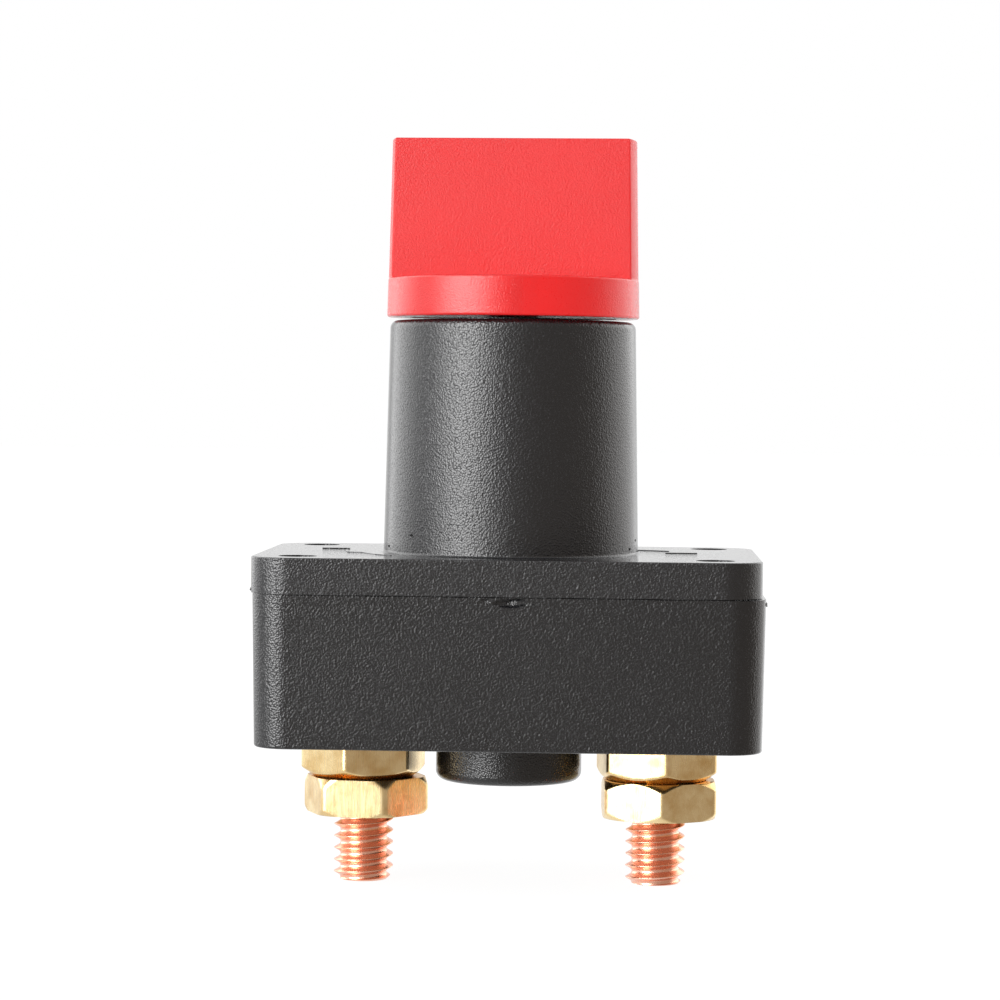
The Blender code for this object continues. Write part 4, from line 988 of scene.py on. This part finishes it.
spring = make_spring()
dress(spring, "return_spring", "housing", zinc_plated_steel, 60, False)
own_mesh(spring)

# %% [markdown]
# ## A white studio
#
# The switch was photographed in a white tent with one large soft box on the left. The tent is the
# world: white all round for the camera and for mirrors, but a dimmer warm grey in front, where the
# photographer stood. The soft box is a pair of area lamps in one place: one is seen by reflections
# and one by matt surfaces, so that the highlight and the fill can be set apart. Weaker ones stand
# behind on both sides. The floor is white card that keeps only a breath of shadow, and reflections
# look through it into the white tent, as if the switch hung in the air.

# %% World
FRONT_GREY = "#B4AAA1"
AMBIENT = 0.80
DIM_SIDE = math.radians(58)

world = bpy.data.worlds.new("white_tent")
bpy.context.scene.world = world
world.use_nodes = True
sky = world.node_tree
sky.nodes.clear()
direction = add_node(sky, "TexCoord").outputs["Generated"]
dim_way = Vector((math.sin(DIM_SIDE), -math.cos(DIM_SIDE), 0))
towards = add_node(sky, "VectorMath", {"operation": "DOT_PRODUCT"}, {0: direction, 1: dim_way})
frontness = add_node(sky, "MapRange", {"interpolation_type": "SMOOTHSTEP"}, {
    "Value": towards.outputs["Value"], "From Min": -0.25, "From Max": 0.85})
rays = add_node(sky, "LightPath").outputs
mirrored = add_node(sky, "Math", {"operation": "MAXIMUM"}, {
    0: rays["Is Glossy Ray"], 1: rays["Is Transmission Ray"]})
greyness = add_node(sky, "Math", {"operation": "MULTIPLY"}, {
    0: frontness.outputs[0], 1: mirrored.outputs[0]})
tent = add_node(sky, "Mix", {"data_type": "RGBA"}, {
    0: greyness.outputs[0], 6: linear("#FFFFFF"), 7: linear(FRONT_GREY)})
shown = add_node(sky, "Math", {"operation": "MAXIMUM"}, {
    0: rays["Is Camera Ray"], 1: mirrored.outputs[0]})
strength = add_node(sky, "Mix", {"data_type": "FLOAT"}, {0: shown.outputs[0], 2: AMBIENT, 3: 1.0})
shining = add_node(sky, "Background", inputs={
    "Color": tent.outputs[2], "Strength": strength.outputs[0]})
add_node(sky, "OutputWorld", inputs={"Surface": shining.outputs[0]})
print("world ready")

# %% Lamps
STAGE_MIDDLE = Vector((0, 0, 45)) * MM
LAMP_DISTANCE = 0.60


def soft_box(name, side_angle, width, height, glow, fill, lift=0.0):
    """Two rectangular lamps in one place, aimed at the switch.

    glow is how bright reflections see it, and fill how bright matt surfaces do, where 1 is white.
    side_angle counts from the front towards +X.
    """
    angle = math.radians(side_angle)
    away = Vector((math.sin(angle) * LAMP_DISTANCE, -math.cos(angle) * LAMP_DISTANCE, lift))
    for use, brightness in (("glow", glow), ("fill", fill)):
        lamp = bpy.data.lights.new(name + "_" + use, "AREA")
        lamp.shape = "RECTANGLE"
        lamp.size = width
        lamp.size_y = height
        lamp.energy = brightness * math.pi * width * height
        stand = bpy.data.objects.new(lamp.name, lamp)
        bpy.context.scene.collection.objects.link(stand)
        stand.location = STAGE_MIDDLE + away
        stand.rotation_euler = (-away).to_track_quat("-Z", "Y").to_euler()
        stand.visible_camera = False
        stand.visible_glossy = use == "glow"
        stand.visible_diffuse = use == "fill"
        print(lamp.name, round(lamp.energy, 2), "W")


soft_box("key_soft_box", -44.5, 0.405, 0.60, 10.0, 4.0, 0.20)
soft_box("rear_left_panel", -122, 0.58, 0.80, 2.0, 0.6, 0.29)
soft_box("rear_right_panel", 128, 0.70, 0.80, 0.65, 0.3)
soft_box("upper_right_panel", 128, 0.70, 0.80, 1.1, 0.1, 0.37)

# %% Floor
FLOOR_SIDE = 6.0
SHADOW_HIDDEN = 0.85
CARD_GLOW = 1.10


def white_card():
    """White card that shows a seventh of the shadow that falls on it, and is clear from below."""
    material, tree = new_material("white_card")
    card = add_node(tree, "BsdfDiffuse", inputs={"Color": linear("#F4F4F4")})
    paper_white = add_node(tree, "Emission", inputs={
        "Color": linear("#FFFFFF"), "Strength": CARD_GLOW})
    seen = add_node(tree, "LightPath").outputs["Is Camera Ray"]
    share = add_node(tree, "Math", {"operation": "MULTIPLY"}, {0: seen, 1: SHADOW_HIDDEN})
    both = add_node(tree, "MixShader", inputs={
        0: share.outputs[0], 1: card.outputs[0], 2: paper_white.outputs[0]})
    below = add_node(tree, "NewGeometry").outputs["Backfacing"]
    clear = add_node(tree, "BsdfTransparent")
    one_way = add_node(tree, "MixShader", inputs={
        0: below, 1: both.outputs[0], 2: clear.outputs[0]})
    add_node(tree, "OutputMaterial", inputs={"Surface": one_way.outputs[0]})
    return material


floor_bm = bmesh.new()
bmesh.ops.create_grid(floor_bm, x_segments=1, y_segments=1, size=FLOOR_SIDE / 2)
floor_card = to_object("floor", floor_bm)
floor_card.data.materials.append(white_card())
floor_card.visible_glossy = False
print("floor laid")

# %% [markdown]
# ## The view
#
# The picture is shown through the Standard view transform.

# %% View transform
bpy.context.scene.view_settings.view_transform = "Standard"
